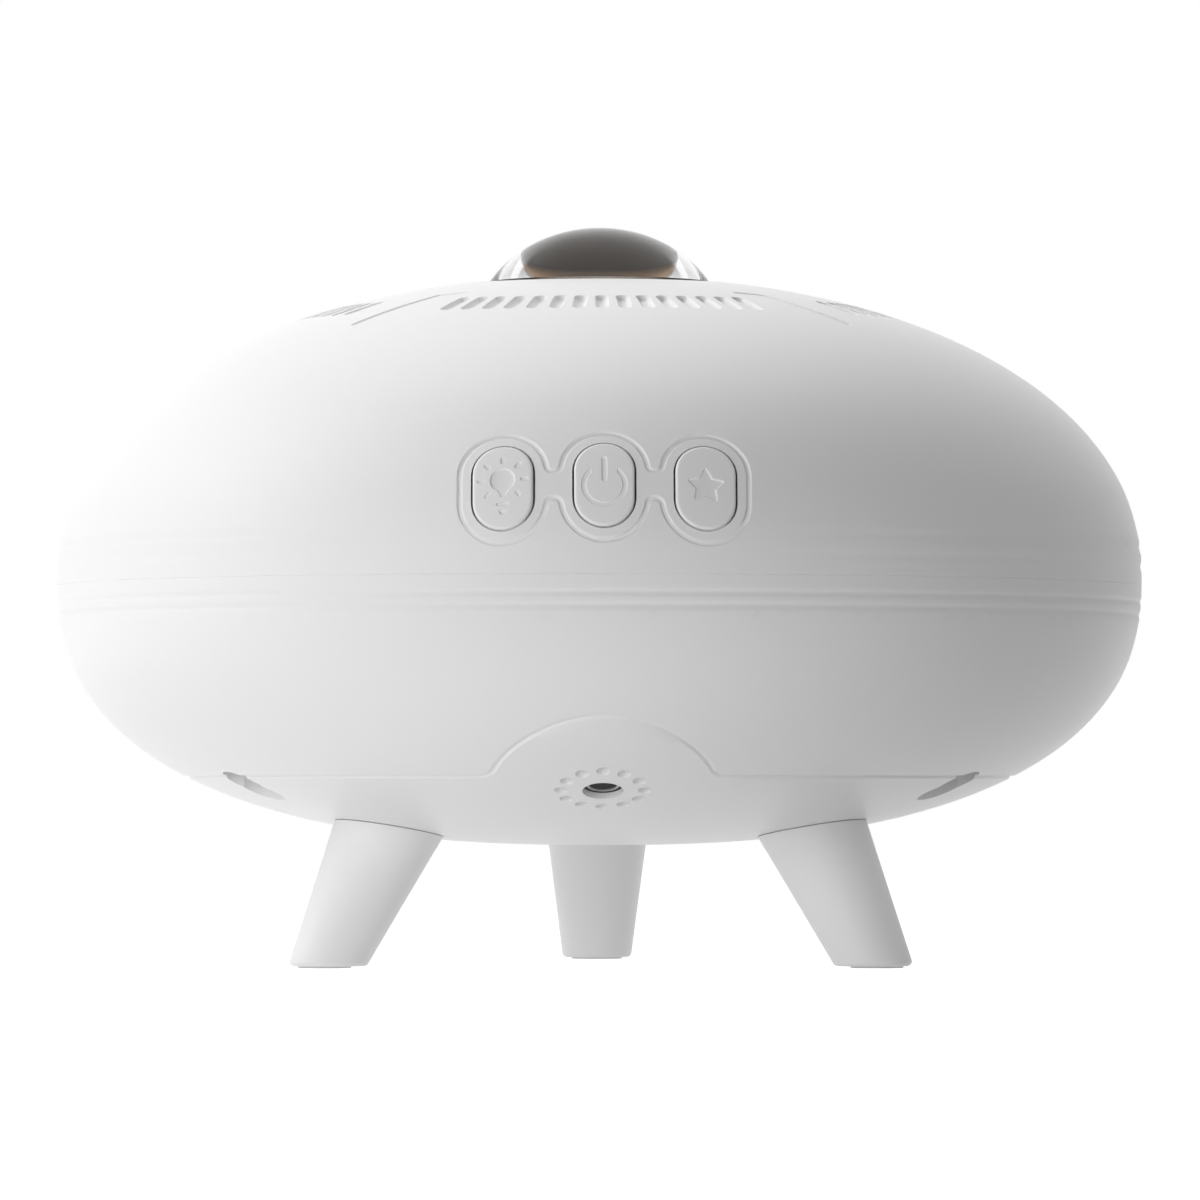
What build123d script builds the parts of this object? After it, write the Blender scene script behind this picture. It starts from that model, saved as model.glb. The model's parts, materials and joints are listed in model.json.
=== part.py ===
from build123d import *
import os
from math import acos, asin, atan2, cos, degrees, hypot, pi, radians, sin, sqrt, tan

# Star night light projector: a flattened round case on three splayed legs, with a dome lens on top.
# Millimetres. The floor is z = 0, +Z is up, and the buttons face -Y.

# ---- case: a body of revolution whose two halves are superellipses that meet at the equator ----
BODY_RADIUS = 100.0
SEAM_Z = 69.75
EQUATOR_LIFT = 1.8
UPPER_RISE = 55.3
UPPER_POWER = 2.13
LOWER_RISE = 49.5
LOWER_POWER = 2.45
WALL = 2.4
SEAM_EDGE = 0.1
TONGUE_THICKNESS = 1.1
TONGUE_CLEARANCE = 0.1
CURVE_POINTS = 13
ON_SKIN = 0.998
ON_LINE = 0.05

# ---- shallow rings beside the seam ----
LOWER_RING_DROPS = (3.2, 5.4)
LOWER_RING_WIDTH = 1.6
LOWER_RING_DEPTH = 0.18
UPPER_RING_LIFTS = (3.6, 7.2)
UPPER_RING_WIDTH = 2.2
UPPER_RING_DEPTH = 0.22
UPPER_RING_BREAK_DEG = 36.8

# ---- decoration of the crown ----
FLUTE_INNER_RADIUS = 48.5
FLUTE_OUTER_RADIUS = 57.4
FLUTE_WIDTH = 2.5
FLUTE_DEPTH = 1.0
FLUTE_PITCH_DEG = 4.235
FRONT_FLUTES = 15
SIDE_FLUTES = 18
HOOK_INNER = (44.5, 33.5)
HOOK_KNEE = (46.0, 39.5)
HOOK_OUTER = (63.0, 44.7)
HOOK_WIDTH = 1.5
HOOK_DEPTH = 0.55

# ---- lens ----
DOME_RADIUS = 23.5
DOME_HEIGHT = 20.1
DOME_CENTRE_Z = 116.0
DOME_RIM_RADIUS = 20.4
LENS_FLANGE_RADIUS = 27.7
LENS_FLANGE_THICKNESS = 1.15
LENS_BACK_RADIUS = 17.4
LENS_BACK_APERTURE = 16.4
LENS_NECK_DROP = 0.3
LENS_CLEARANCE = 0.15
GASKET_THICKNESS = 0.6
GASKET_INNER_RADIUS = 22.2
SHELF_INNER_RADIUS = 24.0
SHELF_DEPTH = 2.6
SHELF_RING_RADIUS = 33.0

# ---- barrel between the wheel and the lens ----
BARREL_INNER_RADIUS = 21.5
BARREL_WALL = 1.9
BARREL_FLANGE_RADIUS = 31.5
BARREL_FLANGE_THICKNESS = 2.0
BARREL_SCREW_CIRCLE = 28.0
BARREL_SCREW_AZIMUTHS = (30.0, 150.0, 270.0)
BARREL_SCREW_LENGTH = 3.6
BARREL_WHEEL_GAP = 2.6
BARREL_LEDGE = 1.6
RIPPLE_PLATE_THICKNESS = 2.0
RIPPLE_PLATE_CLEARANCE = 0.1
WAVE_COUNT = 5
WAVE_PITCH = 5.0
WAVE_RADIUS = 2.2
WAVE_DEPTH = 0.6

# ---- buttons ----
BUTTON_LIFT = 15.7
BUTTON_PITCH = 17.6
BUTTON_WIDTH = 10.5
BUTTON_HEIGHT = 15.5
BUTTON_GAP = 0.33
BUTTON_PROUD = 0.45
BUTTON_EDGE = 0.5
BUTTON_TRAVEL = 0.6
BUTTON_STOP_GAP = 0.3
BUTTON_FLANGE_WIDTH = 1.2
BUTTON_FLANGE_THICKNESS = 1.0
BUTTON_FLANGE_SETBACK = 6.2
BUTTON_STEM_RADIUS = 2.2
BUTTON_STEM_LENGTH = 1.0
ICON_DEPTH = 0.4
ICON_SLOPE = 0.25
ICON_SPARE = 0.3
ICON_LINE = 0.8
BULB_CENTRE = 1.1
BULB_RADIUS = 2.3
BULB_CHEEK = (2.1, 0.2)
BULB_NECK = (0.75, -1.3)
BULB_FOOT = -2.1
BULB_THREAD = (2.4, -3.3)
BULB_TIP = (1.05, 0.35, -4.2, -5.2)
RAY_COUNT = 7
RAY_PITCH_DEG = 45.0
RAY_CIRCLE = 3.75
RAY_LENGTH = 1.5
POWER_CENTRE = -0.4
POWER_RADIUS = 3.6
POWER_LINE = 1.1
POWER_GAP = 4.2
POWER_BAR = (5.0, 2.6)
STAR_RADIUS = 4.0
STAR_TIP_FILLET = 0.45
SURROUND_WIDTH = 15.1
SURROUND_HEIGHT = 20.1
SURROUND_NECK = 5.1
SURROUND_FILLET = 1.2
SURROUND_LINE = 1.1
SURROUND_DEPTH = 0.4
SURROUND_SLOPE = 0.34
SWITCH_SIDE = 6.0
SWITCH_HEIGHT = 3.5
PLUNGER_RADIUS = 1.7
PLUNGER_CLEARANCE = 0.1
PLUNGER_GRIP = 1.3
BUTTON_BOARD_LENGTH = 70.0
BUTTON_BOARD_HEIGHT = 17.0
BOARD_THICKNESS = 1.6
BUTTON_POST_SPACING = 60.0
BUTTON_POST_RADIUS = 3.4

# ---- microphone, its hole and the rings around it ----
MIC_RADIUS_OUT = 70.4
MIC_HOLE_RADIUS = 3.65
MIC_CAPSULE_RADIUS = 3.0
MIC_CAPSULE_HEIGHT = 2.7
MIC_BOOT_RADIUS = 4.9
MIC_BOOT_HEIGHT = 5.2
MIC_SLEEVE_WALL = 1.4
MIC_FLOOR_THICKNESS = 1.2
MIC_CAN_WALL = 0.5
MIC_FELT_SETBACK = 0.25
DIMPLE_COUNT = 12
DIMPLE_CIRCLE = 7.4
DIMPLE_RADIUS = 1.25
DIMPLE_DEPTH = 0.75
BELT_RADIUS = 76.0
ARCH_RADIUS = 20.1
ARCH_FILLET = 4.5
BELT_LINE = 1.2
BELT_DEPTH = 0.34
BELT_SLOPE = 0.3

# ---- screws and screw wells ----
SCREW_RADIUS = 1.5
SCREW_HEAD_RADIUS = 2.8
SCREW_HEAD_HEIGHT = 2.2
SCREW_CLEARANCE = 0.02
SCREW_TIP_GAP = 0.4
CASE_SCREW_CIRCLE = 72.0
CASE_SCREW_DEG = 60.5
WELL_LOBE_RADIUS = 4.1
WELL_LOBE_SPACING = 3.4
WELL_WALL = 1.8
WELL_TOP_DROP = 13.75
WELL_WEB = 4.0
BOSS_RADIUS = 4.5
CASE_SCREW_LENGTH = 30.0
SMALL_SCREW_RADIUS = 1.1
SMALL_HEAD_RADIUS = 2.1
SMALL_HEAD_HEIGHT = 1.5
SMALL_SCREW_LENGTH = 6.0

# ---- legs ----
LEG_FOOT_CIRCLE = 57.8
LEG_LEAN_DEG = 27.2
LEG_TAPER_DEG = 6.3
LEG_FOOT_RADIUS = 6.5
LEG_FOOT_EDGE = 0.9
LEG_AZIMUTHS = {"front_left": -60.0, "front_right": 60.0, "rear": 180.0}
LEG_SEAT_GAP = 0.12
LEG_LIFT = 0.3
SPIGOT_RADIUS = 5.5
SPIGOT_DEPTH = 5.0
LEG_BOSS_WALL = 2.4
LEG_WEB = 2.2
LEG_SCREW_LENGTH = 18.0
PAD_RADIUS = 4.8
PAD_THICKNESS = 1.2

# ---- chassis ----
CHASSIS_RADIUS = 60.0
CHASSIS_Z = 56.0
CHASSIS_THICKNESS = 2.4
CHASSIS_POST_CIRCLE = 50.0
CHASSIS_POST_RADIUS = 4.0
CHASSIS_POST_AZIMUTHS = (0.0, 120.0, 240.0)

# ---- light engine ----
SINK_RADIUS = 20.5
SINK_PAD_RADIUS = 13.5
SINK_PAD_CLEARANCE = 0.1
SINK_SCREW_REACH = 17.3
SINK_FINS = 7
SINK_OFFSET = 6.5
SINK_BASE = 4.0
SINK_FIN_LENGTH = 8.0
SINK_FIN = 1.6
SINK_FIN_PITCH = 4.6
LED_BOARD_RADIUS = 14.5
LED_SIDE = 4.5
LED_HEIGHT = 1.0
LED_PITCH = 9.5
COLLIMATOR_RADIUS = 4.6
COLLIMATOR_HEIGHT = 6.5
COLLIMATOR_PLATE_RADIUS = 13.0
COLLIMATOR_PLATE = 1.2
LASER_OFFSET = 14.6
LASER_RADIUS = 3.9
LASER_ROOM = 1.0
LASER_LENGTH = 27.0
LASER_COLLAR_RADIUS = 6.0
LASER_COLLAR_HEIGHT = 7.0
LASER_COLLAR_GAP = 0.3
LASER_MOUTH_DEPTH = 3.0
GRATING_THICKNESS = 1.2

# ---- effect wheel and its drive ----
GEAR_MODULE = 1.0
WHEEL_TEETH = 68
PINION_TEETH = 12
GEAR_WIDTH = 2.4
GEAR_ADDENDUM = 0.85
GEAR_DEDENDUM = 1.15
GEAR_PRESSURE_DEG = 20.0
GEAR_BACKLASH = 0.22
GEAR_SPREAD = 0.1
GEAR_ROOT_STEP = 0.05
WHEEL_OFFSET = 26.0
WHEEL_Z = 71.2
WHEEL_RIM = 2.6
WHEEL_WEB = 1.4
WHEEL_HUB_RADIUS = 5.0
WHEEL_HUB_HEIGHT = 5.0
HOLLOW_COUNT = 16
HOLLOW_CIRCLES = (15.0, 23.0)
HOLLOW_RADII = (7.0, 9.0)
HOLLOW_DEPTH = 0.45
AXLE_RADIUS = 2.0
RUNNING_CLEARANCE = 0.05
AXIAL_PLAY = 0.2
WASHER_RADIUS = 4.2
WASHER_THICKNESS = 0.5
CLIP_THICKNESS = 0.8
AXLE_BOSS_RADIUS = 5.0
AXLE_TIP = 0.4
PINION_DEG = 110.0
PINION_WIDTH = 4.0
SHAFT_RADIUS = 1.5
MOTOR_WIDTH = 12.0
MOTOR_DEPTH = 10.0
GEARBOX_HEIGHT = 9.0
MOTOR_HEIGHT = 15.0
MOTOR_HUB_RADIUS = 2.4
MOTOR_HUB_HEIGHT = 0.8
MOTOR_HUB_GAP = 0.4
SHAFT_DEPTH = 4.0
MOTOR_ROOM = 0.5
CLAMP_LENGTH = 25.0
CLAMP_DEPTH = 14.0
CLAMP_HEIGHT = 5.0
CLAMP_FOOT = 2.0

# ---- main board ----
MAIN_BOARD_WIDTH = 54.0
MAIN_BOARD_DEPTH = 58.0
MAIN_BOARD_Y = -8.0
MAIN_BOARD_Z = 31.0
MAIN_POST_INSET = 3.6
MAIN_POST_RADIUS = 3.0
MAIN_BOARD_CORNER = 2.0
CHIP_HEIGHT = 1.7
CHIPS = ((10.0, 7.5, 0.0, -12.0), (5.0, 6.2, -13.0, -2.0), (5.0, 6.2, 13.0, -2.0))
CAPACITOR_SPOTS = ((-16.0, 14.0), (-8.0, 16.0), (17.0, -15.0))
CAPACITOR_RADIUS = 3.15
CAPACITOR_HEIGHT = 7.0
PLUG_SIZE = (8.0, 5.0, 5.5)
PLUG_SPOTS = {
    "buttons": (-12.0, -25.0),
    "microphone": (2.0, -25.0),
    "light": (15.0, -22.0),
    "laser": (-21.0, 2.0),
    "power": (-9.0, 24.5),
    "motor": (9.0, 24.5),
}

# ---- power inlet at the rear ----
INLET_DROP = 17.75
INLET_POCKET_RADIUS = 6.5
INLET_POCKET_DEPTH = 5.6
INLET_FACE = 2.2
JACK_NOSE_RADIUS = 4.0
JACK_BORE_RADIUS = 2.8
JACK_BORE_DEPTH = 9.0
JACK_PIN_RADIUS = 1.0
JACK_BODY = (9.0, 10.0, 11.0)
JACK_NUT_WIDTH = 10.5
JACK_NUT_THICKNESS = 2.0
JACK_NOSE_SPARE = 1.0
JACK_PIN_SETBACK = 1.0

# ---- inner leads ----
LEAD_RADIUS = 0.9
LEAD_HOLE_RADIUS = 2.5
LED_LEAD_HOLE = (9.0, -27.5)

EQUATOR_Z = SEAM_Z + EQUATOR_LIFT
SCREW_HOLE = SCREW_RADIUS + SCREW_CLEARANCE
SMALL_HOLE = SMALL_SCREW_RADIUS + SCREW_CLEARANCE


# ---------------------------------------------------------------- curves and shared shapes

def half_curve(rise, power, inset, r_from, count=CURVE_POINTS):
    """Points of a case half from radius r_from out to the equator, moved inwards by inset, as (r, height)."""
    turn_from = acos((r_from / BODY_RADIUS) ** (power / 2))
    points = []
    for i in range(count):
        turn = turn_from * (1 - i / (count - 1))
        r = BODY_RADIUS * max(cos(turn), 0.0) ** (2 / power)
        h = rise * sin(turn) ** (2 / power)
        nr, nh = surface_normal(rise, power, r, h)
        points.append((r - inset * nr, h - inset * nh))
    return points


def surface_normal(rise, power, r, h):
    nr = r ** (power - 1) / BODY_RADIUS ** power
    nh = h ** (power - 1) / rise ** power
    size = hypot(nr, nh)
    return nr / size, nh / size


def height_at(rise, power, r):
    return rise * (1 - (r / BODY_RADIUS) ** power) ** (1 / power)


def radius_at(rise, power, h):
    return BODY_RADIUS * (1 - (abs(h) / rise) ** power) ** (1 / power)


def skin_share(point):
    """1 on the case's outer surface, less inside it and more outside."""
    h = point.Z - EQUATOR_Z
    rise, power = (UPPER_RISE, UPPER_POWER) if h > 0 else (LOWER_RISE, LOWER_POWER)
    return (hypot(point.X, point.Y) / BODY_RADIUS) ** power + (abs(h) / rise) ** power


def upper_z(r):
    return EQUATOR_Z + height_at(UPPER_RISE, UPPER_POWER, r)


def lower_z(r):
    return EQUATOR_Z - height_at(LOWER_RISE, LOWER_POWER, r)


def upper_edge(inset, r_from):
    points = half_curve(UPPER_RISE, UPPER_POWER, inset, r_from)
    nr, nh = surface_normal(UPPER_RISE, UPPER_POWER, r_from, height_at(UPPER_RISE, UPPER_POWER, r_from))
    return Spline([Vector(r, 0, EQUATOR_Z + h) for r, h in points], tangents=[(nh, 0, -nr), (0, 0, -1)])


def lower_edge(inset, r_from):
    points = half_curve(LOWER_RISE, LOWER_POWER, inset, r_from)
    nr, nh = surface_normal(LOWER_RISE, LOWER_POWER, r_from, height_at(LOWER_RISE, LOWER_POWER, r_from))
    return Spline([Vector(r, 0, EQUATOR_Z - h) for r, h in points], tangents=[(nh, 0, nr), (0, 0, 1)])


def turned(curves):
    """A solid turned about Z from the curves of one closed outline in the XZ plane."""
    return revolve(Face(Wire([edge for curve in curves for edge in curve.edges()])), Axis.Z)


def turned_polygon(corners):
    return revolve(make_face(Polyline([(r, 0, z) for r, z in corners], close=True)), Axis.Z)


def whole_body(inset):
    """The case as one full solid, its surface moved inwards by inset."""
    top = upper_edge(inset, 0.0)
    bottom = lower_edge(inset, 0.0)
    axis = Line(top @ 0, bottom @ 0)
    return turned([top, bottom, axis])


def tube(outer, inner, z_low, z_high, x=0.0, y=0.0):
    return Pos(x, y) * turned_polygon([(inner, z_low), (outer, z_low), (outer, z_high), (inner, z_high)])


def rod(radius, z_low, z_high, x=0.0, y=0.0):
    return Pos(x, y, (z_low + z_high) / 2) * Cylinder(radius, z_high - z_low)


def block(width, depth, z_low, z_high, x=0.0, y=0.0):
    return Pos(x, y, (z_low + z_high) / 2) * Box(width, depth, z_high - z_low)


def around(radius, azimuth):
    """A point in plan at an azimuth in degrees: 0 is the front, and +90 is the +X side."""
    return radius * sin(radians(azimuth)), -radius * cos(radians(azimuth))


def ring_cut(radius, z, width, depth):
    """A torus that cuts a round-bottomed ring of the given width and depth into a near-vertical wall."""
    cutter = (width * width / 4 + depth * depth) / (2 * depth)
    circle = Plane.XZ * Pos(radius + cutter - depth, z) * Circle(cutter)
    return revolve(circle, Axis.Z)


def screw(radius, head_radius, head_height, length):
    """A screw with its head's underside at z = 0, its shank along +Z and a cross slot in the head."""
    shank = rod(radius, 0, length)
    head = rod(head_radius, -head_height, 0)
    slot = block(head_radius * 1.2, 0.6, -head_height, -head_height / 2)
    return shank + head - slot - Rot(Z=90) * slot


# ---------------------------------------------------------------- upper case

SEAT_RADIUS = LENS_FLANGE_RADIUS + LENS_CLEARANCE
FLANGE_TOP_Z = upper_z(LENS_FLANGE_RADIUS)
FLANGE_BOTTOM_Z = FLANGE_TOP_Z - LENS_FLANGE_THICKNESS
SHELF_Z = FLANGE_BOTTOM_Z - GASKET_THICKNESS
SHELF_BOTTOM_Z = SHELF_Z - SHELF_DEPTH
INNER_RADIUS = BODY_RADIUS - WALL
REBATE_RADIUS = INNER_RADIUS + TONGUE_THICKNESS + TONGUE_CLEARANCE

BUTTON_H = BUTTON_LIFT - EQUATOR_LIFT
BUTTON_R = radius_at(UPPER_RISE, UPPER_POWER, BUTTON_H)
BUTTON_NORMAL = surface_normal(UPPER_RISE, UPPER_POWER, BUTTON_R, BUTTON_H)
BUTTON_PLANE = Plane(
    origin=(0, -BUTTON_R, EQUATOR_Z + BUTTON_H),
    x_dir=(1, 0, 0),
    z_dir=(0, -BUTTON_NORMAL[0], BUTTON_NORMAL[1]),
)
BUTTON_XS = {"light": -BUTTON_PITCH, "power": 0.0, "star": BUTTON_PITCH}
FLANGE_FRONT = -BUTTON_FLANGE_SETBACK
FLANGE_BACK = FLANGE_FRONT - BUTTON_FLANGE_THICKNESS
PLUNGER_FRONT = FLANGE_BACK - BUTTON_STEM_LENGTH
SWITCH_FRONT = PLUNGER_FRONT - BUTTON_TRAVEL - BUTTON_STOP_GAP
PLUNGER_BACK = SWITCH_FRONT - PLUNGER_GRIP
BOARD_FRONT = SWITCH_FRONT - SWITCH_HEIGHT
BOARD_BACK = BOARD_FRONT - BOARD_THICKNESS
BUTTON_DEEP = 30.0


def button_prism(sketch, back, front):
    """A sketch drawn on the buttons' common plane, pushed along their travel from back to front."""
    return BUTTON_PLANE * Pos(0, 0, back) * extrude(sketch, front - back)


def pill(width, height, x=0.0):
    return Pos(x, 0) * Rot(Z=90) * SlotOverall(height, width)


def surround_outline():
    """Three lobes around the buttons, joined by necks with rounded inner corners."""
    shape = Rectangle(2 * BUTTON_PITCH, SURROUND_NECK)
    for x in BUTTON_XS.values():
        shape += pill(SURROUND_WIDTH, SURROUND_HEIGHT, x)
    inner = [v for v in shape.vertices() if abs(abs(v.Y) - SURROUND_NECK / 2) < 0.01]
    return fillet(inner, SURROUND_FILLET)


def line_band(outline, width):
    return offset(outline, width / 2) - offset(outline, -width / 2)


def grooved(case, outline, width, depth, slope, push, flatten):
    """The case with a line cut along an outline: a narrow groove whose upper edges are cut back to slopes.

    push turns a flat band into a cutter, and flatten takes a point of the case back to the outline's plane.
    """
    floor = width - 2 * slope
    case -= push(line_band(outline, floor)) - whole_body(depth)
    border = outline.faces()[0].outer_wire()
    shoulders = []
    for edge in case.edges():
        middle = edge @ 0.5
        beside = abs(border.distance_to(flatten(middle)) - floor / 2) < ON_LINE
        if beside and skin_share(middle) > ON_SKIN:
            shoulders.append(edge)
    return chamfer(shoulders, slope)


def flute(azimuth):
    """One blind radial flute of the crown: a round-ended rod laid along the surface."""
    radius = (FLUTE_WIDTH * FLUTE_WIDTH / 4 + FLUTE_DEPTH * FLUTE_DEPTH) / (2 * FLUTE_DEPTH)
    ends = []
    for r in (FLUTE_INNER_RADIUS + FLUTE_WIDTH / 2, FLUTE_OUTER_RADIUS - FLUTE_WIDTH / 2):
        x, y = around(r, azimuth)
        ends.append(Vector(x, y, upper_z(r) + radius - FLUTE_DEPTH))
    return capsule(ends[0], ends[1], radius)


def capsule(start, end, radius):
    along = end - start
    plane = Plane(origin=start, z_dir=along)
    bar = plane * Pos(0, 0, along.length / 2) * Cylinder(radius, along.length)
    return bar + Pos(start) * Sphere(radius) + Pos(end) * Sphere(radius)


def hook(side, back):
    """A long groove between two flute groups, with a short turned-in end; back mirrors it to the rear."""
    radius = (HOOK_WIDTH * HOOK_WIDTH / 4 + HOOK_DEPTH * HOOK_DEPTH) / (2 * HOOK_DEPTH)
    stops = [HOOK_INNER, HOOK_KNEE]
    pieces = 3
    for i in range(1, pieces + 1):
        share = i / pieces
        stops.append(tuple(a + (b - a) * share for a, b in zip(HOOK_KNEE, HOOK_OUTER)))
    points = []
    for r, azimuth in stops:
        x, y = around(r, side * azimuth)
        points.append(Vector(x, back * y, upper_z(r) + radius - HOOK_DEPTH))
    return [capsule(a, b, radius) for a, b in zip(points, points[1:])]


def crown_cutters():
    cutters = []
    groups = ((0.0, FRONT_FLUTES), (90.0, SIDE_FLUTES), (180.0, FRONT_FLUTES), (270.0, SIDE_FLUTES))
    for centre, count in groups:
        for i in range(count):
            cutters.append(flute(centre + (i - (count - 1) / 2) * FLUTE_PITCH_DEG))
    for side in (-1, 1):
        for back in (-1, 1):
            cutters += hook(side, back)
    return cutters


def broken_ring(lift):
    """A ring above the seam that stops on both sides of the buttons with dished ends."""
    h = lift - EQUATOR_LIFT
    radius = radius_at(UPPER_RISE, UPPER_POWER, h)
    cutter = (UPPER_RING_WIDTH ** 2 / 4 + UPPER_RING_DEPTH ** 2) / (2 * UPPER_RING_DEPTH)
    reach = radius + cutter - UPPER_RING_DEPTH
    half = UPPER_RING_BREAK_DEG / 2
    ring = ring_cut(radius, SEAM_Z + lift, UPPER_RING_WIDTH, UPPER_RING_DEPTH)
    corners = [(0, 0), around(2 * BODY_RADIUS, half), around(2 * BODY_RADIUS, -half)]
    wedge = Pos(0, 0, SEAM_Z) * extrude(make_face(Polyline(corners, close=True)), UPPER_RISE)
    ends = []
    for azimuth in (-half, half):
        x, y = around(reach, azimuth)
        ends.append(Pos(x, y, SEAM_Z + lift) * Sphere(cutter))
    return [ring - wedge] + ends


CASE_SCREW_AZIMUTHS = (CASE_SCREW_DEG, -CASE_SCREW_DEG, 180 - CASE_SCREW_DEG, CASE_SCREW_DEG - 180)


def case_screw_spots():
    return [around(CASE_SCREW_CIRCLE, azimuth) for azimuth in CASE_SCREW_AZIMUTHS]


WELL_TOP_Z = SEAM_Z - WELL_TOP_DROP
CASE_SCREW_TIP_Z = WELL_TOP_Z + CASE_SCREW_LENGTH
BARREL_FLANGE_TOP_Z = SHELF_BOTTOM_Z


def barrel_screw_spots():
    return [around(BARREL_SCREW_CIRCLE, azimuth) for azimuth in BARREL_SCREW_AZIMUTHS]


def surround_push(band):
    return button_prism(band, -BUTTON_DEEP / 2, BUTTON_DEEP / 2)


def surround_flatten(point):
    local = BUTTON_PLANE.to_local_coords(point)
    return Vector(local.X, local.Y)


def make_upper_case():
    outer = upper_edge(0.0, SEAT_RADIUS)
    inner = upper_edge(WALL, SHELF_RING_RADIUS)
    low = Polyline([
        outer @ 1, (BODY_RADIUS, 0, SEAM_Z + SEAM_EDGE), (BODY_RADIUS - SEAM_EDGE, 0, SEAM_Z),
        (REBATE_RADIUS, 0, SEAM_Z), (REBATE_RADIUS, 0, EQUATOR_Z), inner @ 1,
    ])
    top = Polyline([
        inner @ 0, ((inner @ 0).X, 0, SHELF_BOTTOM_Z), (SHELF_INNER_RADIUS, 0, SHELF_BOTTOM_Z),
        (SHELF_INNER_RADIUS, 0, SHELF_Z), (SEAT_RADIUS, 0, SHELF_Z), outer @ 0,
    ])
    case = turned([outer, low, inner, top])
    case = grooved(
        case, surround_outline(), SURROUND_LINE, SURROUND_DEPTH, SURROUND_SLOPE, surround_push, surround_flatten,
    )
    limit = whole_body(WALL / 2)
    top_z = upper_z(0.0)
    for x, y in case_screw_spots():
        case += rod(BOSS_RADIUS, EQUATOR_Z, top_z, x, y) & limit
    for x in (-BUTTON_POST_SPACING / 2, BUTTON_POST_SPACING / 2):
        case += button_prism(Pos(x, 0) * Circle(BUTTON_POST_RADIUS), BOARD_FRONT, 0) & limit
    cutters = []
    for x, y in case_screw_spots():
        cutters.append(rod(SCREW_HOLE, EQUATOR_Z - 1, CASE_SCREW_TIP_Z + SCREW_TIP_GAP, x, y))
    for x, y in barrel_screw_spots():
        tip = SHELF_BOTTOM_Z - BARREL_FLANGE_THICKNESS + BARREL_SCREW_LENGTH
        cutters.append(rod(SMALL_HOLE, SHELF_BOTTOM_Z - 1, tip + SCREW_TIP_GAP, x, y))
    for x in (-BUTTON_POST_SPACING / 2, BUTTON_POST_SPACING / 2):
        pilot = Pos(x, 0) * Circle(SMALL_HOLE)
        tip = BOARD_BACK + SMALL_SCREW_LENGTH
        cutters.append(button_prism(pilot, BOARD_FRONT - 1, tip + SCREW_TIP_GAP))
    for x in BUTTON_XS.values():
        opening = pill(BUTTON_WIDTH + 2 * BUTTON_GAP, BUTTON_HEIGHT + 2 * BUTTON_GAP, x)
        cutters.append(button_prism(opening, -BUTTON_DEEP / 2, BUTTON_DEEP / 2))
    case -= cutters
    for lift in UPPER_RING_LIFTS:
        case -= broken_ring(lift)
    case -= crown_cutters()
    return case


# ---------------------------------------------------------------- lower case

INLET_H = INLET_DROP + EQUATOR_LIFT
INLET_Z = SEAM_Z - INLET_DROP
INLET_FACE_Y = radius_at(LOWER_RISE, LOWER_POWER, INLET_H) - INLET_POCKET_DEPTH
INLET_BACK_Y = INLET_FACE_Y - INLET_FACE
MIC_X, MIC_Y = around(MIC_RADIUS_OUT, 0.0)
MIC_Z = lower_z(MIC_RADIUS_OUT)
MIC_NORMAL = surface_normal(LOWER_RISE, LOWER_POWER, MIC_RADIUS_OUT, EQUATOR_Z - MIC_Z)
MIC_FRAME = Plane(origin=(MIC_X, MIC_Y, MIC_Z), x_dir=(1, 0, 0), z_dir=(0, MIC_NORMAL[0], MIC_NORMAL[1]))
MIC_CAPSULE_TOP = MIC_FLOOR_THICKNESS + MIC_CAPSULE_HEIGHT
MIC_BOOT_TOP = MIC_FLOOR_THICKNESS + MIC_BOOT_HEIGHT


def leg_frame(azimuth):
    """Frame at a foot's centre on the floor, with Z up along the leg's axis and X outwards in plan."""
    x, y = around(LEG_FOOT_CIRCLE, azimuth)
    out_x, out_y = around(1.0, azimuth)
    lean = radians(LEG_LEAN_DEG)
    up = (-out_x * sin(lean), -out_y * sin(lean), cos(lean))
    return Plane(origin=(x, y, 0), x_dir=(out_x * cos(lean), out_y * cos(lean), sin(lean)), z_dir=up)


def leg_root_distance():
    """Distance along a leg's axis from the floor to the case's outer surface, found by halving."""
    near, far = 0.0, 2 * SEAM_Z
    for _ in range(50):
        middle = (near + far) / 2
        r = LEG_FOOT_CIRCLE - middle * sin(radians(LEG_LEAN_DEG))
        if middle * cos(radians(LEG_LEAN_DEG)) < lower_z(abs(r)):
            near = middle
        else:
            far = middle
    return near


LEG_ROOT = leg_root_distance()
SPIGOT_TOP = LEG_ROOT + SPIGOT_DEPTH
LEG_WEB_TOP = SPIGOT_TOP + LEG_WEB


def well_outline(grow):
    lobe = WELL_LOBE_RADIUS + grow
    half = WELL_LOBE_SPACING / 2
    return Pos(-half, 0) * Circle(lobe) + Pos(half, 0) * Circle(lobe)


def well_solid(azimuth, grow, z_low, z_high):
    x, y = around(CASE_SCREW_CIRCLE, azimuth)
    return Pos(x, y, z_low) * Rot(Z=azimuth - 90) * extrude(well_outline(grow), z_high - z_low)


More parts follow.
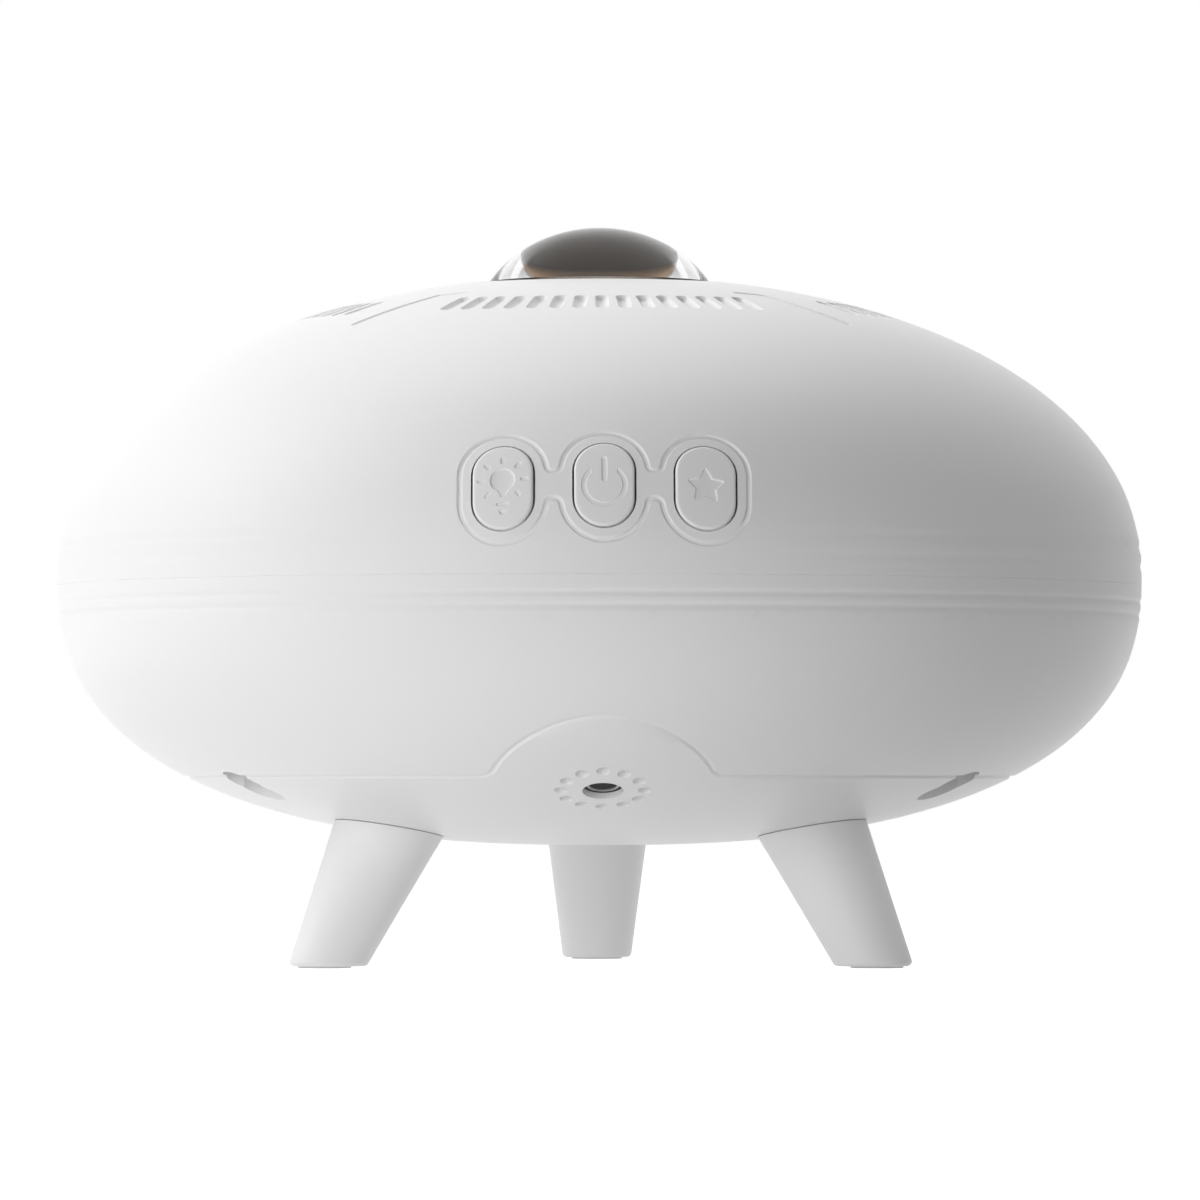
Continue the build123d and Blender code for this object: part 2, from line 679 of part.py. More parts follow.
def belt_outline():
    """The line around the lower case in plan: a circle that bulges outwards around the microphone."""
    reach_belt = BELT_RADIUS + ARCH_FILLET
    reach_arch = ARCH_RADIUS + ARCH_FILLET
    mic = Vector(MIC_X, MIC_Y)
    y = (reach_arch ** 2 - reach_belt ** 2 - mic.Y ** 2) / (-2 * mic.Y)
    centre = Vector(sqrt(reach_belt ** 2 - y ** 2), y)
    on_belt = centre * (BELT_RADIUS / reach_belt)
    on_arch = mic + (centre - mic) * (ARCH_RADIUS / reach_arch)
    middle = centre + ((on_arch + on_belt) * 0.5 - centre).normalized() * ARCH_FILLET
    left_belt, left_middle, left_arch = [Vector(-p.X, p.Y) for p in (on_belt, middle, on_arch)]
    return make_face([
        ThreePointArc(left_arch, mic + Vector(0, -ARCH_RADIUS), on_arch),
        ThreePointArc(on_arch, middle, on_belt),
        ThreePointArc(on_belt, Vector(0, BELT_RADIUS), left_belt),
        ThreePointArc(left_belt, left_middle, left_arch),
    ])


def chassis_spots():
    return [around(CHASSIS_POST_CIRCLE, azimuth) for azimuth in CHASSIS_POST_AZIMUTHS]


def main_board_spots():
    half_x = MAIN_BOARD_WIDTH / 2 - MAIN_POST_INSET
    half_y = MAIN_BOARD_DEPTH / 2 - MAIN_POST_INSET
    return [(sx * half_x, MAIN_BOARD_Y + sy * half_y) for sx in (-1, 1) for sy in (-1, 1)]


def lower_case_bosses():
    """Everything that stands up inside the lower case, before it is trimmed to the case's surface."""
    floor = 0.0
    bosses = []
    for azimuth in CASE_SCREW_AZIMUTHS:
        bosses.append(well_solid(azimuth, WELL_WALL, floor, WELL_TOP_Z + WELL_WEB))
    for x, y in case_screw_spots():
        bosses.append(rod(BOSS_RADIUS, WELL_TOP_Z, EQUATOR_Z, x, y))
    for x, y in chassis_spots():
        bosses.append(rod(CHASSIS_POST_RADIUS, floor, CHASSIS_Z, x, y))
    for x, y in main_board_spots():
        bosses.append(rod(MAIN_POST_RADIUS, floor, MAIN_BOARD_Z, x, y))
    bosses.append(MIC_FRAME * rod(MIC_BOOT_RADIUS + MIC_SLEEVE_WALL, floor, MIC_BOOT_TOP))
    for azimuth in LEG_AZIMUTHS.values():
        frame = leg_frame(azimuth)
        boss = Cylinder(SPIGOT_RADIUS + LEG_BOSS_WALL, LEG_WEB_TOP - LEG_ROOT)
        bosses.append(frame * Pos(0, 0, (LEG_ROOT + LEG_WEB_TOP) / 2) * boss)
    inlet_length = BODY_RADIUS - INLET_BACK_Y
    inlet = Pos(0, INLET_BACK_Y + inlet_length / 2, INLET_Z) * Rot(X=90)
    bosses.append(inlet * Cylinder(INLET_POCKET_RADIUS + WALL, inlet_length))
    return bosses


def lower_case_holes():
    holes = []
    low = -1.0
    for azimuth in CASE_SCREW_AZIMUTHS:
        holes.append(well_solid(azimuth, 0.0, low, WELL_TOP_Z))
    for x, y in case_screw_spots():
        holes.append(rod(SCREW_HOLE, WELL_TOP_Z - 1, EQUATOR_Z + 1, x, y))
    for x, y in chassis_spots():
        tip = CHASSIS_Z + CHASSIS_THICKNESS - SMALL_SCREW_LENGTH
        holes.append(rod(SMALL_HOLE, tip - SCREW_TIP_GAP, CHASSIS_Z + 1, x, y))
    for x, y in main_board_spots():
        tip = MAIN_BOARD_Z + BOARD_THICKNESS - SMALL_SCREW_LENGTH
        holes.append(rod(SMALL_HOLE, tip - SCREW_TIP_GAP, MAIN_BOARD_Z + 1, x, y))
    holes.append(MIC_FRAME * rod(MIC_HOLE_RADIUS, low, MIC_FLOOR_THICKNESS + 1))
    holes.append(MIC_FRAME * rod(MIC_BOOT_RADIUS, MIC_FLOOR_THICKNESS, MIC_BOOT_TOP + 1))
    for azimuth in LEG_AZIMUTHS.values():
        frame = leg_frame(azimuth)
        socket = Cylinder(SPIGOT_RADIUS + SCREW_CLEARANCE, SPIGOT_TOP)
        holes.append(frame * Pos(0, 0, SPIGOT_TOP / 2) * socket)
        holes.append(frame * Pos(0, 0, LEG_WEB_TOP) * Cylinder(SCREW_HOLE, 3 * LEG_WEB))
    face = Pos(0, INLET_FACE_Y, INLET_Z) * Rot(X=90)
    holes.append(face * Pos(0, 0, -BODY_RADIUS / 2) * Cylinder(INLET_POCKET_RADIUS, BODY_RADIUS))
    holes.append(face * Cylinder(JACK_NOSE_RADIUS + SCREW_CLEARANCE, 4 * INLET_FACE))
    return holes


def dimples():
    """Small blind hollows around the microphone hole, each a round-ended rod pushed straight up."""
    cuts = []
    for i in range(DIMPLE_COUNT):
        x, y = around(DIMPLE_CIRCLE, 360 * i / DIMPLE_COUNT)
        top = lower_z(hypot(MIC_X + x, MIC_Y + y)) + DIMPLE_DEPTH
        low = top - 5 * DIMPLE_DEPTH
        cuts.append(rod(DIMPLE_RADIUS, low, top, MIC_X + x, MIC_Y + y))
    return cuts


def belt_push(band):
    return extrude(band, EQUATOR_Z - LOWER_RISE / 4)


def belt_flatten(point):
    return Vector(point.X, point.Y)


def make_lower_case():
    outer = lower_edge(0.0, 0.0)
    inner = lower_edge(WALL, 0.0)
    tongue = REBATE_RADIUS - TONGUE_CLEARANCE
    rim = Polyline([outer @ 1, (tongue, 0, EQUATOR_Z), inner @ 1])
    floor = Line(outer @ 0, inner @ 0)
    case = turned([outer, rim, inner, floor])
    case -= turned_polygon([
        (tongue, SEAM_Z), (BODY_RADIUS - SEAM_EDGE, SEAM_Z), (BODY_RADIUS + 1, SEAM_Z - SEAM_EDGE - 1),
        (BODY_RADIUS + 1, EQUATOR_Z + 1), (tongue, EQUATOR_Z + 1),
    ])
    case = grooved(case, belt_outline(), BELT_LINE, BELT_DEPTH, BELT_SLOPE, belt_push, belt_flatten)
    limit = whole_body(WALL / 2)
    for boss in lower_case_bosses():
        case += boss & limit
    case -= lower_case_holes()
    for drop in LOWER_RING_DROPS:
        radius = radius_at(LOWER_RISE, LOWER_POWER, drop + EQUATOR_LIFT)
        case -= ring_cut(radius, SEAM_Z - drop, LOWER_RING_WIDTH, LOWER_RING_DEPTH)
    case -= dimples()
    return case


# ---------------------------------------------------------------- legs

def make_leg(azimuth, seat):
    frame = leg_frame(azimuth)
    below = 2 * LEG_FOOT_RADIUS
    above = LEG_ROOT + SPIGOT_DEPTH
    low_radius = LEG_FOOT_RADIUS - below * tan(radians(LEG_TAPER_DEG))
    high_radius = LEG_FOOT_RADIUS + above * tan(radians(LEG_TAPER_DEG))
    cone = frame * Pos(0, 0, (above - below) / 2) * Cone(low_radius, high_radius, above + below)
    leg = cone - seat - block(BODY_RADIUS * 4, BODY_RADIUS * 4, -BODY_RADIUS, LEG_LIFT)
    foot_edges = [e for e in leg.edges() if abs(e.center().Z - LEG_LIFT) < 0.01]
    leg = fillet(foot_edges, LEG_FOOT_EDGE)
    leg += frame * Pos(0, 0, (LEG_ROOT + SPIGOT_TOP) / 2 - 1) * Cylinder(SPIGOT_RADIUS, SPIGOT_DEPTH + 2)
    pilot = Cylinder(SCREW_HOLE, LEG_SCREW_LENGTH)
    leg -= frame * Pos(0, 0, LEG_WEB_TOP - SCREW_TIP_GAP - LEG_SCREW_LENGTH / 2) * pilot
    x, y = around(LEG_FOOT_CIRCLE, azimuth)
    leg -= rod(PAD_RADIUS, -1, PAD_THICKNESS, x, y)
    return leg


def make_leg_screw(azimuth):
    body = screw(SCREW_RADIUS, SCREW_HEAD_RADIUS, SCREW_HEAD_HEIGHT, LEG_SCREW_LENGTH)
    return leg_frame(azimuth) * Pos(0, 0, LEG_WEB_TOP) * Rot(X=180) * body


# ---------------------------------------------------------------- lens and barrel

def make_lens():
    """One clear moulding: an elliptical dome, a thin flange and a strongly curved back."""
    rim_turn = acos(DOME_RIM_RADIUS / DOME_RADIUS)
    rim_z = DOME_CENTRE_Z + DOME_HEIGHT * sin(rim_turn)
    turns = [rim_turn + (pi / 2 - rim_turn) * i / (CURVE_POINTS - 1) for i in range(CURVE_POINTS)]
    dome = Spline(
        [Vector(DOME_RADIUS * cos(a), 0, DOME_CENTRE_Z + DOME_HEIGHT * sin(a)) for a in turns],
        tangents=[(-DOME_RADIUS * sin(rim_turn), 0, DOME_HEIGHT * cos(rim_turn)), (-1, 0, 0)],
    )
    neck_z = min(rim_z, upper_z(DOME_RIM_RADIUS)) - LENS_NECK_DROP
    sag = LENS_BACK_RADIUS - sqrt(LENS_BACK_RADIUS ** 2 - LENS_BACK_APERTURE ** 2)
    edge = Polyline([
        (DOME_RIM_RADIUS, 0, rim_z), (DOME_RIM_RADIUS, 0, neck_z), (LENS_FLANGE_RADIUS, 0, FLANGE_TOP_Z),
        (LENS_FLANGE_RADIUS, 0, FLANGE_BOTTOM_Z), (LENS_BACK_APERTURE, 0, FLANGE_BOTTOM_Z),
    ])
    half_back = asin(LENS_BACK_APERTURE / LENS_BACK_RADIUS) / 2
    middle_r = LENS_BACK_RADIUS * sin(half_back)
    middle_z = FLANGE_BOTTOM_Z - sag + LENS_BACK_RADIUS * (1 - cos(half_back))
    back = ThreePointArc(
        (LENS_BACK_APERTURE, 0, FLANGE_BOTTOM_Z), (middle_r, 0, middle_z), (0, 0, FLANGE_BOTTOM_Z - sag),
    )
    axis = Line((0, 0, FLANGE_BOTTOM_Z - sag), (0, 0, DOME_CENTRE_Z + DOME_HEIGHT))
    return turned([dome, edge, back, axis])


BARREL_RADIUS = BARREL_INNER_RADIUS + BARREL_WALL
WHEEL_TOP_Z = WHEEL_Z + WHEEL_HUB_HEIGHT
BARREL_BOTTOM_Z = WHEEL_TOP_Z + BARREL_WHEEL_GAP
RIPPLE_Z = BARREL_BOTTOM_Z + BARREL_LEDGE


def make_barrel():
    barrel = turned_polygon([
        (BARREL_INNER_RADIUS - BARREL_LEDGE, BARREL_BOTTOM_Z), (BARREL_RADIUS, BARREL_BOTTOM_Z),
        (BARREL_RADIUS, BARREL_FLANGE_TOP_Z - BARREL_FLANGE_THICKNESS),
        (BARREL_FLANGE_RADIUS, BARREL_FLANGE_TOP_Z - BARREL_FLANGE_THICKNESS),
        (BARREL_FLANGE_RADIUS, BARREL_FLANGE_TOP_Z), (BARREL_RADIUS, BARREL_FLANGE_TOP_Z),
        (BARREL_RADIUS, SHELF_Z), (BARREL_INNER_RADIUS, SHELF_Z), (BARREL_INNER_RADIUS, RIPPLE_Z),
        (BARREL_INNER_RADIUS - BARREL_LEDGE, RIPPLE_Z),
    ])
    for x, y in barrel_screw_spots():
        barrel -= rod(SMALL_HOLE, SHELF_BOTTOM_Z - 5, SHELF_BOTTOM_Z + 1, x, y)
    gap_top = RIPPLE_Z + RIPPLE_PLATE_THICKNESS
    return barrel - rod(LASER_RADIUS + LASER_ROOM, BARREL_BOTTOM_Z - 1, gap_top, -LASER_OFFSET, 0)


def make_ripple_plate():
    """Clear disc with a wavy upper face, cut straight on one side to pass the laser."""
    radius = BARREL_INNER_RADIUS - RIPPLE_PLATE_CLEARANCE
    disc = rod(radius, RIPPLE_Z, RIPPLE_Z + RIPPLE_PLATE_THICKNESS)
    edge_x = -LASER_OFFSET + LASER_RADIUS + LASER_ROOM
    disc -= block(2 * radius, 3 * radius, RIPPLE_Z - 1, RIPPLE_Z + 10, edge_x - radius, 0)
    wave = Rot(X=90) * Cylinder(WAVE_RADIUS, 3 * radius)
    wave_z = RIPPLE_Z + RIPPLE_PLATE_THICKNESS + WAVE_RADIUS - WAVE_DEPTH
    return disc - [Pos(edge_x + WAVE_PITCH * (i + 1), 0, wave_z) * wave for i in range(WAVE_COUNT)]


# ---------------------------------------------------------------- buttons

def icon_bulb():
    """Bulb with a tapered neck, a two-part cap below it and seven rays around it."""
    cheek_x, cheek_y = BULB_CHEEK
    neck_x, neck_y = BULB_NECK
    right = [(cheek_x, cheek_y), (neck_x, neck_y), (neck_x, BULB_FOOT)]
    left = [(-x, y) for x, y in reversed(right)]
    bulb = Pos(0, BULB_CENTRE) * Circle(BULB_RADIUS) + make_face(Polyline(right + left, close=True))
    thread_width, thread_y = BULB_THREAD
    thread = Pos(0, thread_y) * SlotOverall(thread_width, ICON_LINE)
    wide, narrow, high, low = BULB_TIP
    tip = make_face(Polyline([(-wide, high), (wide, high), (narrow, low), (-narrow, low)], close=True))
    ray = Pos(RAY_CIRCLE, 0) * SlotOverall(RAY_LENGTH, ICON_LINE)
    first = 90 - RAY_PITCH_DEG * (RAY_COUNT - 1) / 2
    rays = [Pos(0, BULB_CENTRE) * Rot(Z=first + RAY_PITCH_DEG * i) * ray for i in range(RAY_COUNT)]
    return [bulb, thread, tip] + rays


def icon_power():
    ring = Circle(POWER_RADIUS + POWER_LINE / 2) - Circle(POWER_RADIUS - POWER_LINE / 2)
    ring -= Pos(0, POWER_RADIUS) * Rectangle(POWER_GAP, POWER_RADIUS)
    length, centre = POWER_BAR
    return [Pos(0, POWER_CENTRE) * ring, Pos(0, centre) * Rot(Z=90) * SlotOverall(length, POWER_LINE)]


def icon_star():
    corners = []
    for i in range(10):
        radius = STAR_RADIUS if i % 2 == 0 else STAR_RADIUS / 2
        turn = radians(90 + 36 * i)
        corners.append((radius * cos(turn), radius * sin(turn)))
    star = make_face(Polyline(corners, close=True))
    tips = [v for v in star.vertices() if hypot(v.X, v.Y) > STAR_RADIUS * 0.75]
    return [fillet(tips, STAR_TIP_FILLET)]


def skin_lift(x, y):
    """How far the case's surface is in front of the buttons' plane at a point of it, found by halving."""
    near, far = -BUTTON_DEEP / 2, BUTTON_DEEP / 2
    for _ in range(50):
        middle = (near + far) / 2
        if skin_share(BUTTON_PLANE.from_local_coords(Vector(x, y, middle))) < 1:
            near = middle
        else:
            far = middle
    return near


def face_frame(x, y):
    """Frame on the case's surface in front of a point of the buttons' plane, with Z outwards."""
    place = BUTTON_PLANE.from_local_coords(Vector(x, y, skin_lift(x, y)))
    r = hypot(place.X, place.Y)
    nr, nh = surface_normal(UPPER_RISE, UPPER_POWER, r, place.Z - EQUATOR_Z)
    out = Vector(place.X / r * nr, place.Y / r * nr, nh)
    return Plane(origin=place, x_dir=Vector(1, 0, 0) - out * out.X, z_dir=out)


def sunk_mark(mark, x):
    """Cutter for one mark of a symbol: a floor at one depth below the cap's face, and sloping walls."""
    spot = mark.center()
    slope_deg = degrees(atan2(ICON_SLOPE, ICON_DEPTH))
    floor = Pos(-spot.X, -spot.Y) * offset(mark, -ICON_SLOPE)
    cutter = Pos(0, 0, BUTTON_PROUD - ICON_DEPTH) * extrude(floor, ICON_DEPTH + ICON_SPARE, taper=-slope_deg)
    return face_frame(x + spot.X, spot.Y) * cutter


def make_button(name, icon, face_body):
    x = BUTTON_XS[name]
    cap = button_prism(pill(BUTTON_WIDTH, BUTTON_HEIGHT, x), FLANGE_BACK, BUTTON_DEEP / 2) & face_body
    rim = [e for e in cap.edges() if (BUTTON_PLANE.to_local_coords(e.center())).Z > FLANGE_FRONT / 2]
    cap = fillet(rim, BUTTON_EDGE)
    for mark in icon:
        cap -= sunk_mark(mark, x)
    grow = 2 * BUTTON_FLANGE_WIDTH
    cap += button_prism(pill(BUTTON_WIDTH + grow, BUTTON_HEIGHT + grow, x), FLANGE_BACK, FLANGE_FRONT)
    cap += button_prism(Pos(x, 0) * Circle(BUTTON_STEM_RADIUS), PLUNGER_FRONT, FLANGE_BACK)
    return cap


def make_plunger(name):
    spot = Pos(BUTTON_XS[name], 0) * Circle(PLUNGER_RADIUS)
    return button_prism(spot, PLUNGER_BACK, PLUNGER_FRONT)


def make_switches():
    """Switch housings with a well deep enough for the plunger at full travel."""
    well_floor = PLUNGER_BACK - BUTTON_TRAVEL - BUTTON_STOP_GAP
    bodies = []
    for x in BUTTON_XS.values():
        body = button_prism(Pos(x, 0) * Rectangle(SWITCH_SIDE, SWITCH_SIDE), BOARD_FRONT, SWITCH_FRONT)
        well = button_prism(Pos(x, 0) * Circle(PLUNGER_RADIUS + PLUNGER_CLEARANCE), well_floor, 0)
        bodies.append(body - well)
    return bodies


def make_button_board():
    board = button_prism(Rectangle(BUTTON_BOARD_LENGTH, BUTTON_BOARD_HEIGHT), BOARD_BACK, BOARD_FRONT)
    for x in (-BUTTON_POST_SPACING / 2, BUTTON_POST_SPACING / 2):
        hole = Pos(x, 0) * Circle(SMALL_HOLE)
        board -= button_prism(hole, BOARD_BACK - 1, BOARD_FRONT + 1)
    return board


def make_button_screws():
    screws = []
    for x in (-BUTTON_POST_SPACING / 2, BUTTON_POST_SPACING / 2):
        body = screw(SMALL_SCREW_RADIUS, SMALL_HEAD_RADIUS, SMALL_HEAD_HEIGHT, SMALL_SCREW_LENGTH)
        screws.append(BUTTON_PLANE * Pos(x, 0, BOARD_BACK) * body)
    return screws


# ---------------------------------------------------------------- microphone and power inlet

def make_mic_capsule():
    can = rod(MIC_CAPSULE_RADIUS, MIC_FLOOR_THICKNESS, MIC_CAPSULE_TOP)
    mouth = rod(MIC_CAPSULE_RADIUS - MIC_CAN_WALL, 0, MIC_FLOOR_THICKNESS + MIC_FELT_SETBACK)
    return MIC_FRAME * (can - mouth)


def make_mic_boot():
    boot = tube(MIC_BOOT_RADIUS, MIC_CAPSULE_RADIUS, MIC_FLOOR_THICKNESS, MIC_CAPSULE_TOP)
    return MIC_FRAME * (boot + tube(MIC_BOOT_RADIUS, LEAD_RADIUS, MIC_CAPSULE_TOP, MIC_BOOT_TOP))


def along_inlet(shape, y_front):
    """Places a shape built along -Z from z = 0 so that it runs inwards from y_front on the inlet's axis."""
    return Pos(0, y_front, INLET_Z) * Rot(X=-90) * shape


NOSE_LENGTH = INLET_FACE + JACK_NUT_THICKNESS + JACK_NOSE_SPARE


def make_jack():
    nose = rod(JACK_NOSE_RADIUS, -NOSE_LENGTH, 0)
    width, depth, height = JACK_BODY
    body = Pos(0, 0, -NOSE_LENGTH - depth / 2) * Box(width, height, depth)
    bore = rod(JACK_BORE_RADIUS, -JACK_BORE_DEPTH, 1)
    return along_inlet(nose + body - bore, INLET_FACE_Y)


def make_jack_pin():
    return along_inlet(rod(JACK_PIN_RADIUS, -JACK_BORE_DEPTH, -JACK_PIN_SETBACK), INLET_FACE_Y)


def make_jack_nut():
    hexagon = RegularPolygon(JACK_NUT_WIDTH / 2, 6, major_radius=False)
    nut = extrude(hexagon - Circle(JACK_NOSE_RADIUS + SCREW_CLEARANCE), -JACK_NUT_THICKNESS)
    return along_inlet(nut, INLET_BACK_Y)


# ---------------------------------------------------------------- gears

def gear_outline(teeth, turn_deg):
    """Involute spur gear outline with a little backlash; one tooth points along turn_deg."""
    pitch = GEAR_MODULE * teeth / 2
    pressure = radians(GEAR_PRESSURE_DEG)
    base = pitch * cos(pressure)
    tip = pitch + GEAR_ADDENDUM * GEAR_MODULE
    root = pitch - GEAR_DEDENDUM * GEAR_MODULE
    half_at_pitch = (pi * GEAR_MODULE / 2 - GEAR_BACKLASH / 2) / (2 * pitch)
    involute_at_pitch = tan(pressure) - pressure

    def half_angle(radius):
        if radius <= base:
            return half_at_pitch + involute_at_pitch
        slope = acos(base / radius)
        return half_at_pitch + involute_at_pitch - (tan(slope) - slope)

    flank = [root, max(root, base) + GEAR_ROOT_STEP, pitch, (pitch + tip) / 2, tip]
    corners = []
    for i in range(teeth):
        middle = radians(turn_deg) + 2 * pi * i / teeth
        for radius in flank:
            corners.append((radius, middle - half_angle(radius)))
        for radius in reversed(flank):
            corners.append((radius, middle + half_angle(radius)))
    return make_face(Polyline([(r * cos(a), r * sin(a)) for r, a in corners], close=True))


GEAR_DISTANCE = GEAR_MODULE * (WHEEL_TEETH + PINION_TEETH) / 2 + GEAR_SPREAD
PINION_X = WHEEL_OFFSET + GEAR_DISTANCE * cos(radians(PINION_DEG))
PINION_Y = GEAR_DISTANCE * sin(radians(PINION_DEG))
WHEEL_ROOT_RADIUS = GEAR_MODULE * (WHEEL_TEETH / 2 - GEAR_DEDENDUM)
GEAR_Z = WHEEL_Z + (WHEEL_HUB_HEIGHT - GEAR_WIDTH) / 2
PINION_Z = GEAR_Z + (GEAR_WIDTH - PINION_WIDTH) / 2
CHASSIS_TOP_Z = CHASSIS_Z + CHASSIS_THICKNESS


def make_effect_wheel():
    """Toothed rim and rippled web in one clear moulding, with a thicker hub."""
    outline = gear_outline(WHEEL_TEETH, PINION_DEG)
    rim = Pos(0, 0, GEAR_Z) * extrude(outline - Circle(WHEEL_ROOT_RADIUS - WHEEL_RIM), GEAR_WIDTH)
    web_z = GEAR_Z + (GEAR_WIDTH - WHEEL_WEB) / 2
    web = rod(WHEEL_ROOT_RADIUS - WHEEL_RIM / 2, web_z, web_z + WHEEL_WEB)
    wheel = rim + web + rod(WHEEL_HUB_RADIUS, WHEEL_Z, WHEEL_TOP_Z)
    wheel -= rod(AXLE_RADIUS + RUNNING_CLEARANCE, WHEEL_Z - 1, WHEEL_TOP_Z + 1)
    hollows = []
    for i in range(HOLLOW_COUNT):
        turn = 2 * pi * i / HOLLOW_COUNT
        reach = HOLLOW_CIRCLES[i % 2]
        radius = HOLLOW_RADII[i % 2]
        spot = Pos(reach * cos(turn), reach * sin(turn), web_z + WHEEL_WEB + radius - HOLLOW_DEPTH)
        hollows.append(spot * Sphere(radius))
    return Pos(WHEEL_OFFSET, 0) * (wheel - hollows)


def make_pinion():
    outline = gear_outline(PINION_TEETH, PINION_DEG + 180 + 180 / PINION_TEETH)
    gear = extrude(outline - Circle(SHAFT_RADIUS), PINION_WIDTH)
    return Pos(PINION_X, PINION_Y, PINION_Z) * gear


GEARBOX_TOP_Z = PINION_Z - MOTOR_HUB_HEIGHT - MOTOR_HUB_GAP
GEARBOX_BOTTOM_Z = GEARBOX_TOP_Z - GEARBOX_HEIGHT
MOTOR_BOTTOM_Z = GEARBOX_BOTTOM_Z - MOTOR_HEIGHT


def make_motor_shaft():
    return rod(SHAFT_RADIUS, GEARBOX_TOP_Z - SHAFT_DEPTH, PINION_Z + PINION_WIDTH, PINION_X, PINION_Y)


def make_gearbox():
    box = block(MOTOR_WIDTH, MOTOR_DEPTH, GEARBOX_BOTTOM_Z, GEARBOX_TOP_Z, PINION_X, PINION_Y)
    box += rod(MOTOR_HUB_RADIUS, GEARBOX_TOP_Z, GEARBOX_TOP_Z + MOTOR_HUB_HEIGHT, PINION_X, PINION_Y)
    bush = SHAFT_RADIUS + RUNNING_CLEARANCE
    return box - rod(bush, GEARBOX_TOP_Z - SHAFT_DEPTH - AXIAL_PLAY, PINION_Z, PINION_X, PINION_Y)


def make_motor():
    can = block(MOTOR_WIDTH, MOTOR_DEPTH, MOTOR_BOTTOM_Z, GEARBOX_BOTTOM_Z, PINION_X, PINION_Y)
    long_edges = can.edges().filter_by(Axis.Z)
    can = fillet(long_edges, MOTOR_DEPTH / 4)
    return can + rod(MOTOR_HUB_RADIUS, MOTOR_BOTTOM_Z - MOTOR_HUB_HEIGHT, MOTOR_BOTTOM_Z, PINION_X, PINION_Y)


def clamp_spots():
    reach = (CLAMP_LENGTH + MOTOR_WIDTH) / 4
    return [(PINION_X - reach, PINION_Y), (PINION_X + reach, PINION_Y)]


def make_motor_clamp():
    high = CHASSIS_TOP_Z + CLAMP_HEIGHT + 1
    clamp = block(CLAMP_LENGTH, CLAMP_DEPTH, CHASSIS_TOP_Z, high - 1, PINION_X, PINION_Y)
    clamp -= block(MOTOR_WIDTH, MOTOR_DEPTH, CHASSIS_Z, high, PINION_X, PINION_Y)
    for x, y in clamp_spots():
        clamp -= block(SMALL_HEAD_RADIUS * 2.4, CLAMP_DEPTH + 1, CHASSIS_TOP_Z + CLAMP_FOOT, high, x, y)
        clamp -= rod(SMALL_HOLE, CHASSIS_Z, high, x, y)
    return clamp


# ---------------------------------------------------------------- chassis and light engine

WASHER_Z = WHEEL_Z - AXIAL_PLAY - WASHER_THICKNESS
CLIP_Z = WHEEL_TOP_Z + AXIAL_PLAY
LED_BOARD_Z = CHASSIS_TOP_Z
LED_Z = LED_BOARD_Z + BOARD_THICKNESS
COLLIMATOR_Z = LED_Z + LED_HEIGHT
LASER_Z = CHASSIS_Z


def sink_screw_spots():
    return [(SINK_OFFSET, SINK_SCREW_REACH), (SINK_OFFSET, -SINK_SCREW_REACH)]


def make_chassis():
    low = CHASSIS_Z - 1
    high = CHASSIS_TOP_Z + 1
    plate = rod(CHASSIS_RADIUS, CHASSIS_Z, CHASSIS_TOP_Z)
    plate += rod(AXLE_BOSS_RADIUS, CHASSIS_TOP_Z, WASHER_Z, WHEEL_OFFSET, 0)
    cuts = [
        rod(AXLE_RADIUS, low, WHEEL_Z, WHEEL_OFFSET, 0),
        rod(SINK_PAD_RADIUS + SINK_PAD_CLEARANCE, low, high, SINK_OFFSET, 0),
        rod(LASER_RADIUS, low, high, -LASER_OFFSET, 0),
        block(MOTOR_WIDTH + 2 * MOTOR_ROOM, MOTOR_DEPTH + 2 * MOTOR_ROOM, low, high, PINION_X, PINION_Y),
        rod(LEAD_HOLE_RADIUS, low, high, *LED_LEAD_HOLE),
    ]
    for x, y in chassis_spots() + clamp_spots() + sink_screw_spots():
        cuts.append(rod(SMALL_HOLE, low, high, x, y))
    return plate - cuts


def make_sink():
    fin_z = CHASSIS_Z - SINK_BASE - SINK_FIN_LENGTH
    sink = rod(SINK_RADIUS, CHASSIS_Z - SINK_BASE, CHASSIS_Z, SINK_OFFSET, 0)
    sink += rod(SINK_PAD_RADIUS, CHASSIS_Z, CHASSIS_TOP_Z, SINK_OFFSET, 0)
    limit = rod(SINK_RADIUS, fin_z, CHASSIS_Z, SINK_OFFSET, 0)
    for i in range(SINK_FINS):
        x = SINK_OFFSET + (i - (SINK_FINS - 1) / 2) * SINK_FIN_PITCH
        sink += block(SINK_FIN, 2 * SINK_RADIUS, fin_z, CHASSIS_Z - SINK_BASE / 2, x, 0) & limit
    for x, y in sink_screw_spots():
        sink -= rod(SMALL_HOLE, fin_z - 1, CHASSIS_Z + 1, x, y)
    return sink - rod(LASER_RADIUS + LASER_ROOM, fin_z - 1, CHASSIS_Z + 1, -LASER_OFFSET, 0)


def led_spots():
    return [(SINK_OFFSET + sx * LED_PITCH / 2, sy * LED_PITCH / 2) for sx in (-1, 1) for sy in (-1, 1)]


def make_leds():
    return [block(LED_SIDE, LED_SIDE, LED_Z, LED_Z + LED_HEIGHT, x, y) for x, y in led_spots()]


